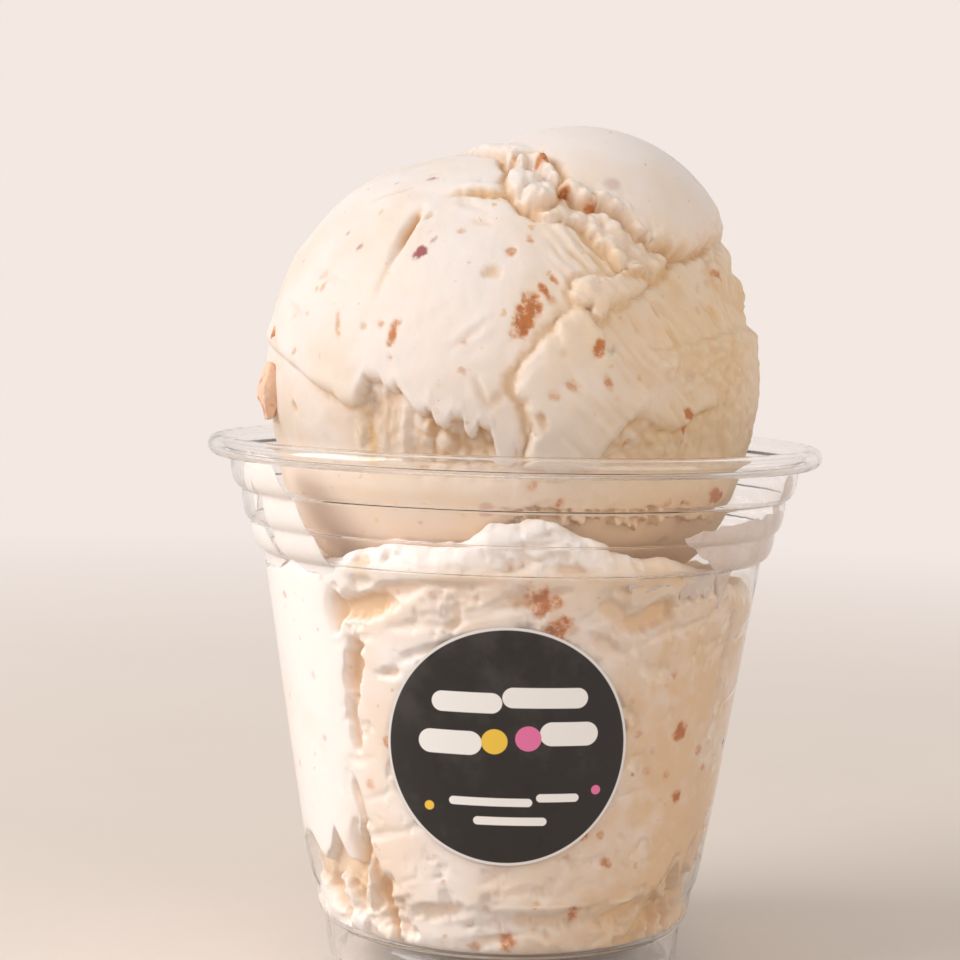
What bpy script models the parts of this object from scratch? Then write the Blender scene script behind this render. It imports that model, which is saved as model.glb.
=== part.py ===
"""Gelato cup: a clear thin-walled dessert cup, packed with gelato and topped with one big scoop.

Metres, +Z up. The origin is on the cup's axis, at the plane it stands on. The label faces -Y.
"""
from math import asin, cos, pi, radians, sin, sqrt

import bmesh
import bpy
import numpy as np
from mathutils import Matrix, Vector

MM = 0.001
GAP = 0.3 * MM                  # air left between touching pieces

# Cup, a thin turned sheet
WALL = 0.5 * MM                 # thickness of the sheet
ROUND_SEGMENTS = 40             # facets round the cup
BEAD_CENTRE = (47.4 * MM, 82.3 * MM)    # radius and height of the rolled rim's middle
BEAD_RADIUS = 1.6 * MM
BEAD_TURN = (225.0, 540.0, 8)   # the curl: first angle, last angle, points
RING_TOPS = (80.2 * MM, 75.5 * MM, 70.4 * MM)       # stacking rings, upper edges
RING_RADII = (45.4 * MM, 43.5 * MM, 42.0 * MM)      # and their outer radii there
RING_STEPS = (0.0, 0.5, 0.85)   # heights within a ring that carry a point
WALL_TOP = (39.9 * MM, 65.8 * MM)       # tapered wall, outer radius and height
WALL_FOOT = (32.0 * MM, 15.5 * MM)
STEP_TOP = (30.4 * MM, 12.0 * MM)       # narrower band under the tapered wall
STEP_FOOT = (30.2 * MM, 9.2 * MM)
STEP_CORNER = (29.7 * MM, 7.8 * MM)
FOOT_TOP = (28.8 * MM, 7.0 * MM)
FOOT_LOW = (28.3 * MM, 1.4 * MM)
REST_OUTER = 27.7 * MM          # flat ring that the cup stands on
REST_INNER = 26.4 * MM
REST_LEVELLING = 0.02 * MM      # what lies this near the table is made to lie on it
RISER_FOOT = (25.9 * MM, 1.4 * MM)      # inside of the foot, up to the raised floor
RISER_TOP = (24.9 * MM, 5.0 * MM)
FLOOR_EDGE = 23.9 * MM
FLOOR_HEIGHT = 5.8 * MM         # upper face of the raised floor

# Scoop, a big ball pressed into the filling
BALL_CENTRE = Vector((-0.6 * MM, 0.0, 94.0 * MM))
BALL_RADIUS = 39.2 * MM
SEAT_RADIUS = 38.8 * MM         # the smooth underside, squatter than a sphere
SEAT_DEPTH = 38.6 * MM
SEAT_POWER = 2.6                # 2 would make it round
SEAT_ABOVE = radians(-16.0)     # elevation where the underside begins
SEAT_BELOW = radians(-27.0)     # and where it is fully smooth
BALL_LEAN = 0.3 * MM            # fuller to the left, flatter to the right
BALL_BACK = 0.5 * MM            # flatter at the back
BROW_DIRECTION = (-0.17, -0.05, 0.98)   # flattened brow beside the folded cap
BROW_DEPTH = 3.6 * MM
BROW_WIDTH = radians(18.0)
CAP_CENTRE = Vector((9.0 * MM, -7.0 * MM, 108.0 * MM))  # the fold that laps over the top right
CAP_RADIUS = 25.6 * MM
CAP_LIP = 1.7 * MM              # height of the step at the fold's edge
CAP_FRONT = 0.55                # how far forward a direction points where the step is full
CAP_EDGE_BEARINGS = (12, 32, 45, 63, 82, 89, 97, 116, 130, 165, 200, 240, 270, 295, 310)   # round its middle
CAP_EDGE_REACH = (20, 22, 21, 23, 26, 34, 38, 37, 35, 36, 37, 36, 33, 26, 20)      # degrees out to its edge
LIP_BEARINGS = (-110, -68, -54, -38, -31, -24, -16, -8, -2)     # smooth mass hanging over the left side
LIP_LEVELS = (8, 5, -1, -5, -2, -5, -10, -13, -14)
LIP_DEPTH = 1.3 * MM            # how far the side is set back under it, in front
LIP_FADES = (-85.0, -55.0)      # bearings between which the set-back grows
LOBE_DIRECTION = (17.0, -3.0)   # bearing and elevation of the front lobe, degrees
LOBE_SIZE = (11.0, 15.0)
LOBE_HEIGHT = 1.0 * MM
GROOVE_FROM = (-28.5, 41.0)     # a dent drawn down the left shoulder, bearing and elevation
GROOVE_TO = (-33.5, 14.0)
GROOVE_WIDTH = radians(2.6)
GROOVE_DEPTH = 1.1 * MM
BALL_SEGMENTS = 48
BALL_RINGS = 30
FOLD_SOFTNESS = radians(3.0)    # how gradually a step rises

# Filling, packed out to the wall
FILL_GAP = 0.4 * MM             # under the ball, beside the room that its lean needs
FILL_BASE = FLOOR_HEIGHT + GAP
FILL_BASE_RADIUS = 23.4 * MM
FILL_HEEL = (27.4 * MM, 7.7 * MM)
FILL_SIDE_LEVELS = 7            # rings of points up the tapered side
FILL_TOP_STEPS = 7              # rings of points across the top
RIDGE_BEARINGS = (-180, -140, -105, -80, -55, -38, -20, -6, 3, 12, 22, 34, 48, 70, 95, 125, 155, 180)
RIDGE_HEIGHTS = (68, 69, 67, 66, 68, 69, 70, 72.5, 74, 72.5, 69, 65.5, 62, 60.5, 60, 61.5, 66, 68)
RIDGE_FALL = 0.35               # slope of the ridge's top towards the ball

# Chunk of toffee caught in the ball's left side
CHUNK_BEARING = radians(-77.0)
CHUNK_REACH = 38.9 * MM         # from the ball's centre to the chunk's middle
CHUNK_LEVEL = -3.2 * MM         # below the ball's centre
CHUNK_SIZE = (5.2 * MM, 6.4 * MM, 8.6 * MM)
CHUNK_TILT = radians(-9.0)
CHUNK_EDGE = 0.7 * MM
CHUNK_TAPER = 0.78

# Round label on the front of the wall
LABEL_RADIUS = 18.4 * MM
LABEL_HEIGHT = 40.4 * MM
LABEL_THICKNESS = 0.15 * MM
LABEL_RINGS = 3
LABEL_SEGMENTS = 40

PLASTIC = (0.90, 0.89, 0.88, 1.0)
GELATO = (0.86, 0.78, 0.66, 1.0)
GELATO_SHADE = (0.80, 0.70, 0.57, 1.0)
TOFFEE = (0.72, 0.37, 0.22, 1.0)
CHARCOAL = (0.045, 0.043, 0.042, 1.0)


def make_material(name, colour, roughness, transmission=0.0):
    """A Principled material of one colour."""
    material = bpy.data.materials.new(name)
    material.use_nodes = True
    shader = material.node_tree.nodes["Principled BSDF"]
    shader.inputs["Base Color"].default_value = colour
    shader.inputs["Roughness"].default_value = roughness
    shader.inputs["Transmission Weight"].default_value = transmission
    material.diffuse_color = colour
    return material


def make_object(name, mesh, material, collection):
    """Links a new object for the mesh, with its one material."""
    thing = bpy.data.objects.new(name, mesh)
    thing.data.materials.append(material)
    collection.objects.link(thing)
    return thing


def shade(mesh, sharp_angle):
    mesh.shade_smooth()
    mesh.set_sharp_from_angle(angle=radians(sharp_angle))


def profile_mesh(name, points):
    """An open polyline in the XZ plane, from (radius, height) pairs."""
    mesh = bpy.data.meshes.new(name)
    edges = [(index, index + 1) for index in range(len(points) - 1)]
    mesh.from_pydata([(radius, 0.0, height) for radius, height in points], edges, [])
    return mesh


def turn(thing, segments):
    """Turns the profile once round Z."""
    screw = thing.modifiers.new("Turn", "SCREW")
    screw.axis = "Z"
    screw.angle = 2 * pi
    screw.steps = segments
    screw.render_steps = segments
    screw.use_merge_vertices = True
    screw.merge_threshold = 0.00001
    screw.use_smooth_shade = True


def evaluated_mesh(thing):
    depsgraph = bpy.context.evaluated_depsgraph_get()
    return bpy.data.meshes.new_from_object(thing.evaluated_get(depsgraph))


def ring_profile():
    """Outer side of the stacking rings: each one a quarter ellipse, plumb above and turned in below."""
    points = []
    next_edges = list(zip(RING_RADII, RING_TOPS))[1:] + [WALL_TOP]
    for radius, top, (inner, low) in zip(RING_RADII, RING_TOPS, next_edges):
        for step in RING_STEPS:
            bulge = sqrt(1.0 - step * step)
            points.append((inner + (radius - inner) * bulge, top + (low - top) * step))
    return points


def cup_inside(height):
    """Inner radius of the cup's wall at a height above the narrow band."""
    outline = [STEP_FOOT, STEP_TOP, WALL_FOOT, WALL_TOP] + ring_profile()[::-1]
    radii = [radius for radius, _ in outline]
    heights = [level for _, level in outline]
    return float(np.interp(height, heights, radii)) - WALL


def cup_profile():
    """Inner face of the sheet: from the curl's free end over the rim, down the inside to the axis."""
    first, last, count = BEAD_TURN
    points = []
    for angle in np.radians(np.linspace(first, last, count)):
        points.append((BEAD_CENTRE[0] + BEAD_RADIUS * cos(angle), BEAD_CENTRE[1] + BEAD_RADIUS * sin(angle)))
    side = ring_profile() + [WALL_TOP, WALL_FOOT, STEP_TOP, STEP_FOOT, STEP_CORNER, FOOT_TOP, FOOT_LOW]
    points += [(radius - WALL, height) for radius, height in side]
    points += [(REST_OUTER - WALL, WALL), (REST_INNER + WALL, WALL)]
    points += [RISER_FOOT, RISER_TOP, (FLOOR_EDGE, FLOOR_HEIGHT), (0.0, FLOOR_HEIGHT)]
    return points


def build_cup(collection):
    """The cup: its inner face turned round Z and given the sheet's thickness on the outside.

    The sheet's mitred corners leave the ring that it stands on microns out of level, so that is levelled.
    """
    material = make_material("clear_plastic", PLASTIC, 0.08, 1.0)
    blank = make_object("cup_blank", profile_mesh("cup_blank", cup_profile()), material, collection)
    turn(blank, ROUND_SEGMENTS)
    sheet = blank.modifiers.new("Sheet", "SOLIDIFY")
    sheet.thickness = WALL
    sheet.offset = 1.0
    sheet.use_even_offset = True
    bpy.context.view_layer.update()
    mesh = evaluated_mesh(blank)
    bpy.data.objects.remove(blank)
    for vertex in mesh.vertices:
        if vertex.co.z < REST_LEVELLING:
            vertex.co.z = 0.0
    cup = bpy.data.objects.new("cup", mesh)
    collection.objects.link(cup)
    return cup


def smooth_step(value):
    """0 below 0, 1 above 1, with a soft start and end."""
    value = min(max(value, 0.0), 1.0)
    return value * value * (3.0 - 2.0 * value)


def direction_from(bearing, elevation):
    """Unit vector at a bearing from the front towards +X and an elevation, in radians."""
    level = cos(elevation)
    return Vector((level * sin(bearing), -level * cos(bearing), sin(elevation)))


def cap_edge(direction):
    """How far inside the fold's edge a direction is, in radians; negative outside."""
    axis = (CAP_CENTRE - BALL_CENTRE).normalized()
    down = (Vector((0.0, 0.0, -1.0)) + axis * axis.z).normalized()
    right = down.cross(axis)
    away = direction - axis * direction.dot(axis)
    bearing = np.degrees(np.arctan2(away.dot(right), away.dot(down)))
    reach = np.interp(bearing, CAP_EDGE_BEARINGS, CAP_EDGE_REACH, period=360)
    return radians(reach) - direction.angle(axis)


def cap_reach(direction):
    """Distance from the ball's centre to the fold's own round surface."""
    offset = CAP_CENTRE - BALL_CENTRE
    along = direction.dot(offset)
    inside = CAP_RADIUS ** 2 - offset.length_squared + along * along
    return along + sqrt(inside) if inside > 0.0 else 0.0


def seat_reach(direction):
    """Distance from the ball's centre to its smooth underside."""
    level = sqrt(direction.x ** 2 + direction.y ** 2)
    total = (level / SEAT_RADIUS) ** SEAT_POWER + (abs(direction.z) / SEAT_DEPTH) ** SEAT_POWER
    return total ** (-1.0 / SEAT_POWER)


def seat_height(out, margin):
    """Height of the ball's underside at a distance from its axis, with a margin all round."""
    part = 1.0 - (out / (SEAT_RADIUS + margin)) ** SEAT_POWER
    return BALL_CENTRE.z - (SEAT_DEPTH + margin) * part ** (1.0 / SEAT_POWER)


def groove_depth(bearing, elevation):
    """A dent along a line of bearing and elevation, deepest in its upper half."""
    top, low = GROOVE_FROM[1], GROOVE_TO[1]
    along = (top - np.degrees(elevation)) / (top - low)
    if not 0.0 < along < 1.0:
        return 0.0
    centre = radians(GROOVE_FROM[0] + along * (GROOVE_TO[0] - GROOVE_FROM[0]))
    across = (bearing - centre) * cos(elevation) / GROOVE_WIDTH
    return GROOVE_DEPTH * np.exp(-across * across) * sin(pi * along ** 0.7)


def ball_reach(direction):
    """Distance from the ball's centre to its surface, along a unit direction.

    A sphere that leans left and is flattened at its brow and back, with a folded cap laid over the
    top right, a smooth mass hanging over the left side, a lobe in front and a dent on the shoulder.
    """
    bearing = float(np.arctan2(direction.x, -direction.y))
    elevation = asin(max(-1.0, min(1.0, direction.z)))
    reach = BALL_RADIUS - BALL_LEAN * direction.x - BALL_BACK * max(direction.y, 0.0)
    brow = direction.angle(Vector(BROW_DIRECTION)) / BROW_WIDTH
    reach -= BROW_DEPTH * np.exp(-0.5 * brow * brow)
    reach -= groove_depth(bearing, elevation)

    lobe_across = (np.degrees(bearing) - LOBE_DIRECTION[0]) / LOBE_SIZE[0]
    lobe_up = (np.degrees(elevation) - LOBE_DIRECTION[1]) / LOBE_SIZE[1]
    reach += LOBE_HEIGHT * np.exp(-(lobe_across ** 4 + lobe_up ** 4))

    lip = radians(np.interp(np.degrees(bearing), LIP_BEARINGS, LIP_LEVELS))
    hangs = LIP_BEARINGS[0] < np.degrees(bearing) < LIP_BEARINGS[-1]
    if hangs:
        grown = smooth_step((np.degrees(bearing) - LIP_FADES[0]) / (LIP_FADES[1] - LIP_FADES[0]))
        reach -= LIP_DEPTH * grown * smooth_step((lip - elevation) / FOLD_SOFTNESS)

    inside_cap = cap_edge(direction) / FOLD_SOFTNESS
    folded = max(reach + CAP_LIP * smooth_step(-direction.y / CAP_FRONT), cap_reach(direction))
    reach += (folded - reach) * smooth_step(inside_cap)

    seat = smooth_step((SEAT_ABOVE - elevation) / (SEAT_ABOVE - SEAT_BELOW))
    return reach + (seat_reach(direction) - BALL_LEAN * direction.x - reach) * seat


def chunk_matrix():
    """Where the chunk sits: its X axis points out of the ball."""
    outward = direction_from(CHUNK_BEARING, 0.0)
    place = BALL_CENTRE + outward * CHUNK_REACH + Vector((0.0, 0.0, CHUNK_LEVEL))
    heading = Matrix.Rotation(CHUNK_BEARING - pi / 2, 4, "Z")
    return Matrix.Translation(place) @ heading @ Matrix.Rotation(CHUNK_TILT, 4, "Y")


def chunk_mesh(name, growth):
    """A broken block, narrower towards its top and its outer face, grown by a margin all round."""
    form = bmesh.new()
    bmesh.ops.create_cube(form, size=1.0)
    for vertex in form.verts:
        narrow = CHUNK_TAPER if vertex.co.z > 0 else 1.0
        shallow = CHUNK_TAPER if vertex.co.x > 0 else 1.0
        vertex.co.y *= narrow
        vertex.co.z *= shallow
    for vertex in form.verts:
        for axis in range(3):
            vertex.co[axis] *= CHUNK_SIZE[axis] + 2.0 * growth
    bmesh.ops.bevel(form, geom=form.edges[:], offset=CHUNK_EDGE, segments=2, profile=0.5, affect="EDGES")
    form.transform(chunk_matrix())
    mesh = bpy.data.meshes.new(name)
    form.to_mesh(mesh)
    form.free()
    return mesh


def build_chunk(collection):
    mesh = chunk_mesh("toffee_chunk", 0.0)
    shade(mesh, 50)
    return make_object("toffee_chunk", mesh, make_material("toffee", TOFFEE, 0.45), collection)


def build_scoop(collection, cutters):
    """The ball, with a socket cut for the chunk that is caught in its side."""
    form = bmesh.new()
    bmesh.ops.create_uvsphere(form, u_segments=BALL_SEGMENTS, v_segments=BALL_RINGS, radius=1.0)
    for vertex in form.verts:
        direction = vertex.co.normalized()
        vertex.co = BALL_CENTRE + direction * ball_reach(direction)
    mesh = bpy.data.meshes.new("gelato_scoop")
    form.to_mesh(mesh)
    form.free()
    shade(mesh, 60)
    scoop = make_object("gelato_scoop", mesh, make_material("gelato", GELATO, 0.5), collection)

    socket = bpy.data.objects.new("chunk_socket", chunk_mesh("chunk_socket", GAP))
    cutters.objects.link(socket)
    socket.hide_render = True
    socket.display_type = "WIRE"
    cut = scoop.modifiers.new("Socket", "BOOLEAN")
    cut.operation = "DIFFERENCE"
    cut.solver = "EXACT"
    cut.object = socket
    return scoop


def fill_side(height):
    """Outer radius of the filling: along the wall's taper, and plumb above it, inside the rings."""
    return cup_inside(min(height, WALL_TOP[1])) - GAP


def ridge_height(bearing):
    """Height of the filling against the wall, at a bearing from the front in radians."""
    return float(np.interp(np.degrees(bearing), RIDGE_BEARINGS, RIDGE_HEIGHTS, period=360)) * MM


def fill_top(x, y, edge_radius, edge_height):
    """Height of the filling's top: the ridge falls from the wall, and is dished to take the ball."""
    radius = sqrt(x * x + y * y)
    ridge = edge_height - RIDGE_FALL * (edge_radius - radius)
    out = (Vector((x, y, 0.0)) - Vector((BALL_CENTRE.x, BALL_CENTRE.y, 0.0))).length
    margin = BALL_LEAN + FILL_GAP
    if out >= SEAT_RADIUS + margin:
        return ridge
    return min(ridge, seat_height(out, margin))


def filling_profile():
    """Outline of the packed gelato with a level top, from the top's middle to the floor's middle.

    The top's points stand at unit height 1 and the side's at the fraction of the height they keep.
    """
    top = [(step / FILL_TOP_STEPS, 1.0) for step in range(FILL_TOP_STEPS)]
    side = [(1.0, 1.0 - level / FILL_SIDE_LEVELS) for level in range(FILL_SIDE_LEVELS + 1)]
    return top + side


def build_filling(collection):
    """Packed gelato: a turned blank whose top is raised into the ridge and dished under the ball."""
    blank = make_object("filling_blank", profile_mesh("filling_blank", filling_profile()),
                        make_material("gelato_packed", GELATO_SHADE, 0.5), collection)
    turn(blank, ROUND_SEGMENTS)
    bpy.context.view_layer.update()
    form = bmesh.new()
    form.from_mesh(evaluated_mesh(blank))
    bpy.data.objects.remove(blank)
    bmesh.ops.remove_doubles(form, verts=form.verts, dist=MM * MM)

    foot = STEP_TOP[1]
    for vertex in form.verts:
        reach = sqrt(vertex.co.x ** 2 + vertex.co.y ** 2)
        fraction = vertex.co.z
        bearing = float(np.arctan2(vertex.co.x, -vertex.co.y))
        crest = ridge_height(bearing)
        height = foot + fraction * (crest - foot)
        edge = fill_side(crest)
        if fraction < 1.0 - 1e-4 or reach > 1.0 - 1e-4:
            radius = fill_side(height)
            vertex.co = Vector((sin(bearing) * radius, -cos(bearing) * radius, height))
        else:
            x = sin(bearing) * reach * edge
            y = -cos(bearing) * reach * edge
            vertex.co = Vector((x, y, fill_top(x, y, edge, crest)))

    outline = [edge for edge in form.edges if edge.is_boundary]
    levels = ((STEP_FOOT[0] - WALL - GAP, STEP_FOOT[1]), FILL_HEEL, (FILL_BASE_RADIUS, FILL_BASE))
    for radius, height in levels:
        grown = bmesh.ops.extrude_edge_only(form, edges=outline)["geom"]
        for vertex in [item for item in grown if isinstance(item, bmesh.types.BMVert)]:
            bearing = float(np.arctan2(vertex.co.x, -vertex.co.y))
            vertex.co = Vector((sin(bearing) * radius, -cos(bearing) * radius, height))
        outline = [item for item in grown if isinstance(item, bmesh.types.BMEdge)]
    bmesh.ops.contextual_create(form, geom=outline)
    bmesh.ops.recalc_face_normals(form, faces=form.faces)

    mesh = bpy.data.meshes.new("gelato_filling")
    form.to_mesh(mesh)
    form.free()
    shade(mesh, 50)
    return make_object("gelato_filling", mesh, bpy.data.materials["gelato_packed"], collection)


def build_label(collection):
    """A thin disc wrapped round the cone of the tapered wall, its circle kept true along the surface."""
    slope = (WALL_TOP[0] - WALL_FOOT[0]) / (WALL_TOP[1] - WALL_FOOT[1])
    lean = sqrt(1.0 + slope * slope)
    form = bmesh.new()
    bmesh.ops.create_circle(form, cap_ends=True, cap_tris=True, segments=LABEL_SEGMENTS, radius=LABEL_RADIUS)
    spokes = [edge for edge in form.edges if not edge.is_boundary]
    bmesh.ops.subdivide_edges(form, edges=spokes, cuts=LABEL_RINGS, use_grid_fill=True)
    for vertex in form.verts:
        across, up = vertex.co.x, vertex.co.y
        height = LABEL_HEIGHT + up / lean
        radius = WALL_FOOT[0] + slope * (height - WALL_FOOT[1]) + GAP
        bearing = across / radius
        vertex.co = Vector((sin(bearing) * radius, -cos(bearing) * radius, height))
    mesh = bpy.data.meshes.new("label")
    form.to_mesh(mesh)
    form.free()
    mesh.shade_smooth()
    label = make_object("label", mesh, make_material("label_film", CHARCOAL, 0.35), collection)
    film = label.modifiers.new("Film", "SOLIDIFY")
    film.thickness = LABEL_THICKNESS
    film.offset = 1.0
    return label


def main():
    for thing in list(bpy.data.objects):
        bpy.data.objects.remove(thing)
    parts = bpy.data.collections.new("gelato_cup")
    cutters = bpy.data.collections.new("cutters")
    bpy.context.scene.collection.children.link(parts)
    bpy.context.scene.collection.children.link(cutters)
    build_cup(parts)
    build_filling(parts)
    build_scoop(parts, cutters)
    build_chunk(parts)
    build_label(parts)


main()
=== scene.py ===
from math import cos, pi, radians, sin, sqrt

import bpy
import numpy as np
from bpy.props import FloatProperty, FloatVectorProperty, IntProperty, PointerProperty
from bpy.types import Operator, Panel, PropertyGroup
from mathutils import Matrix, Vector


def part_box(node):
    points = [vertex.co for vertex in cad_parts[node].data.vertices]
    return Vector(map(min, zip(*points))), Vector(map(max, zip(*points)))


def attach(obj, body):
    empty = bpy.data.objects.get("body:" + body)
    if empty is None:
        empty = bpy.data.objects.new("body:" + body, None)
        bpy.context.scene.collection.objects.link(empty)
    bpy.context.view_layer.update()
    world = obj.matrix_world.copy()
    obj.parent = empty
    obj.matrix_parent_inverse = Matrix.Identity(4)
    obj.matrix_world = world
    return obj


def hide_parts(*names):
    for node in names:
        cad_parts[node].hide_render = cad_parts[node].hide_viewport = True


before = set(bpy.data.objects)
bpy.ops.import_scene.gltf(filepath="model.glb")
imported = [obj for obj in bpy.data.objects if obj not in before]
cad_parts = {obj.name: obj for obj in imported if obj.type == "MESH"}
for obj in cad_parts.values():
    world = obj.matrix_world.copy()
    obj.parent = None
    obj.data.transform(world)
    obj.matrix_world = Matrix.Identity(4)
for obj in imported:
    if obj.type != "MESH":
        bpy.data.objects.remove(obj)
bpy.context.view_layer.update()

bl_info = {
    "name": "Gelato Cup",
    "version": (1, 0, 0),
    "blender": (4, 5, 0),
    "location": "View3D > Sidebar > Gelato Cup",
    "description": "Makes a clear dessert cup packed with gelato, a big scoop on top and a studio stage",
    "category": "Add Mesh",
}

# Shapes are worked out in millimetres, in the frame's own axes, and scaled when they become meshes.
MM = 0.001
SHEET = 0.5                     # thickness of the cup's sheet
FRONT = -90.0                   # bearings are degrees from -Y towards +X


def node_box(node):
    """A frame node's lowest and highest corners, in millimetres."""
    low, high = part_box(node)
    return np.array(low) / MM, np.array(high) / MM


CUP_LOW, CUP_HIGH = node_box("cup")
BALL_LOW = node_box("gelato_scoop")[0]
CHUNK_LOW, CHUNK_HIGH = node_box("toffee_chunk")
LABEL_LOW, LABEL_HIGH = node_box("label")


# ---------------------------------------------------------------- noise

def hashed(cells, seed):
    """A repeatable number from -1 to 1 for each whole-number cell: its coordinates are mixed as bits."""
    x, y, z = (cells[..., axis].astype(np.uint32) for axis in range(3))
    mixed = x * np.uint32(374761393) + y * np.uint32(668265263) + z * np.uint32(2246822519)
    mixed = mixed + np.uint32(seed * 3266489917 % 4294967296)
    mixed = (mixed ^ (mixed >> np.uint32(15))) * np.uint32(2654435761)
    mixed = (mixed ^ (mixed >> np.uint32(13))) * np.uint32(1274126177)
    return (mixed ^ (mixed >> np.uint32(16))) / 2147483648.0 - 1.0


def noise(points, size, seed=0):
    """Gradient noise: each lattice corner holds a random slope, and the slopes blend by a smooth ease."""
    scaled = points / size
    low = np.floor(scaled).astype(np.int64)
    part = scaled - low
    ease = part ** 3 * (part * (part * 6.0 - 15.0) + 10.0)
    total = np.zeros(points.shape[:-1])
    for corner in range(8):
        step = np.array([(corner >> axis) & 1 for axis in range(3)])
        weight = np.prod(np.where(step, ease, 1.0 - ease), axis=-1)
        slope = sum((part[..., axis] - step[axis]) * hashed(low + step, seed * 3 + axis) for axis in range(3))
        total += weight * slope
    return total * 1.6


def fractal(points, size, octaves=3, seed=0, gain=0.5):
    """Noise added to itself at half the size and gain times the strength, octave by octave."""
    total = np.zeros(points.shape[:-1])
    strength = 1.0
    for octave in range(octaves):
        total += strength * noise(points + 17.3 * octave, size / 2 ** octave, seed + 11 * octave)
        strength *= gain
    return total


def nearest_cell(points, size, seed=0):
    """Distance, in cell sizes, to the nearest and second nearest of one random point per lattice cell."""
    scaled = points / size
    low = np.floor(scaled).astype(np.int64)
    first = np.full(points.shape[:-1], 9.0)
    second = first.copy()
    for index in range(27):
        step = np.array([index % 3, index // 3 % 3, index // 9]) - 1
        cell = low + step
        middle = cell + 0.5 + 0.45 * np.stack([hashed(cell, seed + 5 * axis) for axis in range(3)], axis=-1)
        away = np.linalg.norm(scaled - middle, axis=-1)
        second = np.minimum(second, np.maximum(first, away))
        first = np.minimum(first, away)
    return first, second


def smooth(value, low, high):
    """0 below low, 1 above high, with a soft start and end between."""
    part = np.clip((value - low) / (high - low), 0.0, 1.0)
    return part * part * (3.0 - 2.0 * part)


# ---------------------------------------------------------------- meshes

def put_mesh(name, points, faces, material, attributes=None, sharp=None):
    """A piece at the origin from points in millimetres, with its material and per-point attributes."""
    mesh = bpy.data.meshes.new(name)
    mesh.from_pydata((points * MM).tolist(), [], faces)
    mesh.shade_smooth()
    if sharp is not None:
        mesh.set_sharp_from_angle(angle=radians(sharp))
    for key, values in (attributes or {}).items():
        field = mesh.attributes.new(key, "FLOAT", "POINT")
        field.data.foreach_set("value", np.ascontiguousarray(values, dtype=np.float32))
    piece = bpy.data.objects.new(name, mesh)
    piece.data.materials.append(material)
    bpy.context.scene.collection.objects.link(piece)
    return piece


def skin(rows, start, end):
    """Points and faces of a closed skin: rings of points joined round, with one point at each end.

    The rings run outwards from the start point, each counterclockwise as seen from outside.
    """
    count, around = rows.shape[:2]
    points = np.concatenate([start[None], rows.reshape(-1, 3), end[None]])
    here = 1 + np.arange(count * around).reshape(count, around)
    after = np.roll(here, -1, axis=1)
    quads = np.stack([here[:-1], here[1:], after[1:], after[:-1]], axis=-1).reshape(-1, 4)
    first = np.stack([np.zeros(around, int), here[0], after[0]], axis=-1)
    last = np.stack([np.full(around, len(points) - 1), after[-1], here[-1]], axis=-1)
    return points, first.tolist() + quads.tolist() + last.tolist()


def on_bearing(bearing, radius, height):
    """Points at a bearing in degrees, a radius and a height."""
    angle = np.radians(bearing)
    return np.stack(np.broadcast_arrays(radius * np.sin(angle), -radius * np.cos(angle), height), axis=-1)


def bearings(front, front_count, back_count):
    """Bearings all the way round, closer together within front degrees of the front."""
    near = np.linspace(-front, front, front_count, endpoint=False)
    far = np.linspace(front, 360.0 - front, back_count, endpoint=False)
    return np.concatenate([near, far])


def wrapped(bearing):
    """Bearings brought to between -180 and 180."""
    return (bearing + 180.0) % 360.0 - 180.0


def finish(piece, slot, *replaced):
    """Attaches a piece to the root and hides the frame nodes it replaces."""
    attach(piece, "root")
    if replaced:
        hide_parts(*replaced)


# ---------------------------------------------------------------- shader building

class Value:
    """A shader socket that Python's operators act on, each adding a Math node."""

    def __init__(self, graph, socket):
        self.graph = graph
        self.socket = socket

    def math(self, operation, *others):
        inputs = dict(enumerate((self, *others)))
        return self.graph.add("ShaderNodeMath", {"operation": operation}, inputs)

    def __add__(self, other):
        return self.math("ADD", other)

    __radd__ = __add__

    def __mul__(self, other):
        return self.math("MULTIPLY", other)

    __rmul__ = __mul__

    def __sub__(self, other):
        return self.math("SUBTRACT", other)

    def __rsub__(self, other):
        return self.graph.add("ShaderNodeMath", {"operation": "SUBTRACT"}, {0: other, 1: self})

    def __truediv__(self, other):
        return self.math("DIVIDE", other)

    def __pow__(self, other):
        return self.math("POWER", other)

    def __abs__(self):
        return self.math("ABSOLUTE")

    def over(self, limit):
        """The larger of this and another."""
        return self.math("MAXIMUM", limit)

    def under(self, limit):
        """The smaller of this and another."""
        return self.math("MINIMUM", limit)


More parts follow.
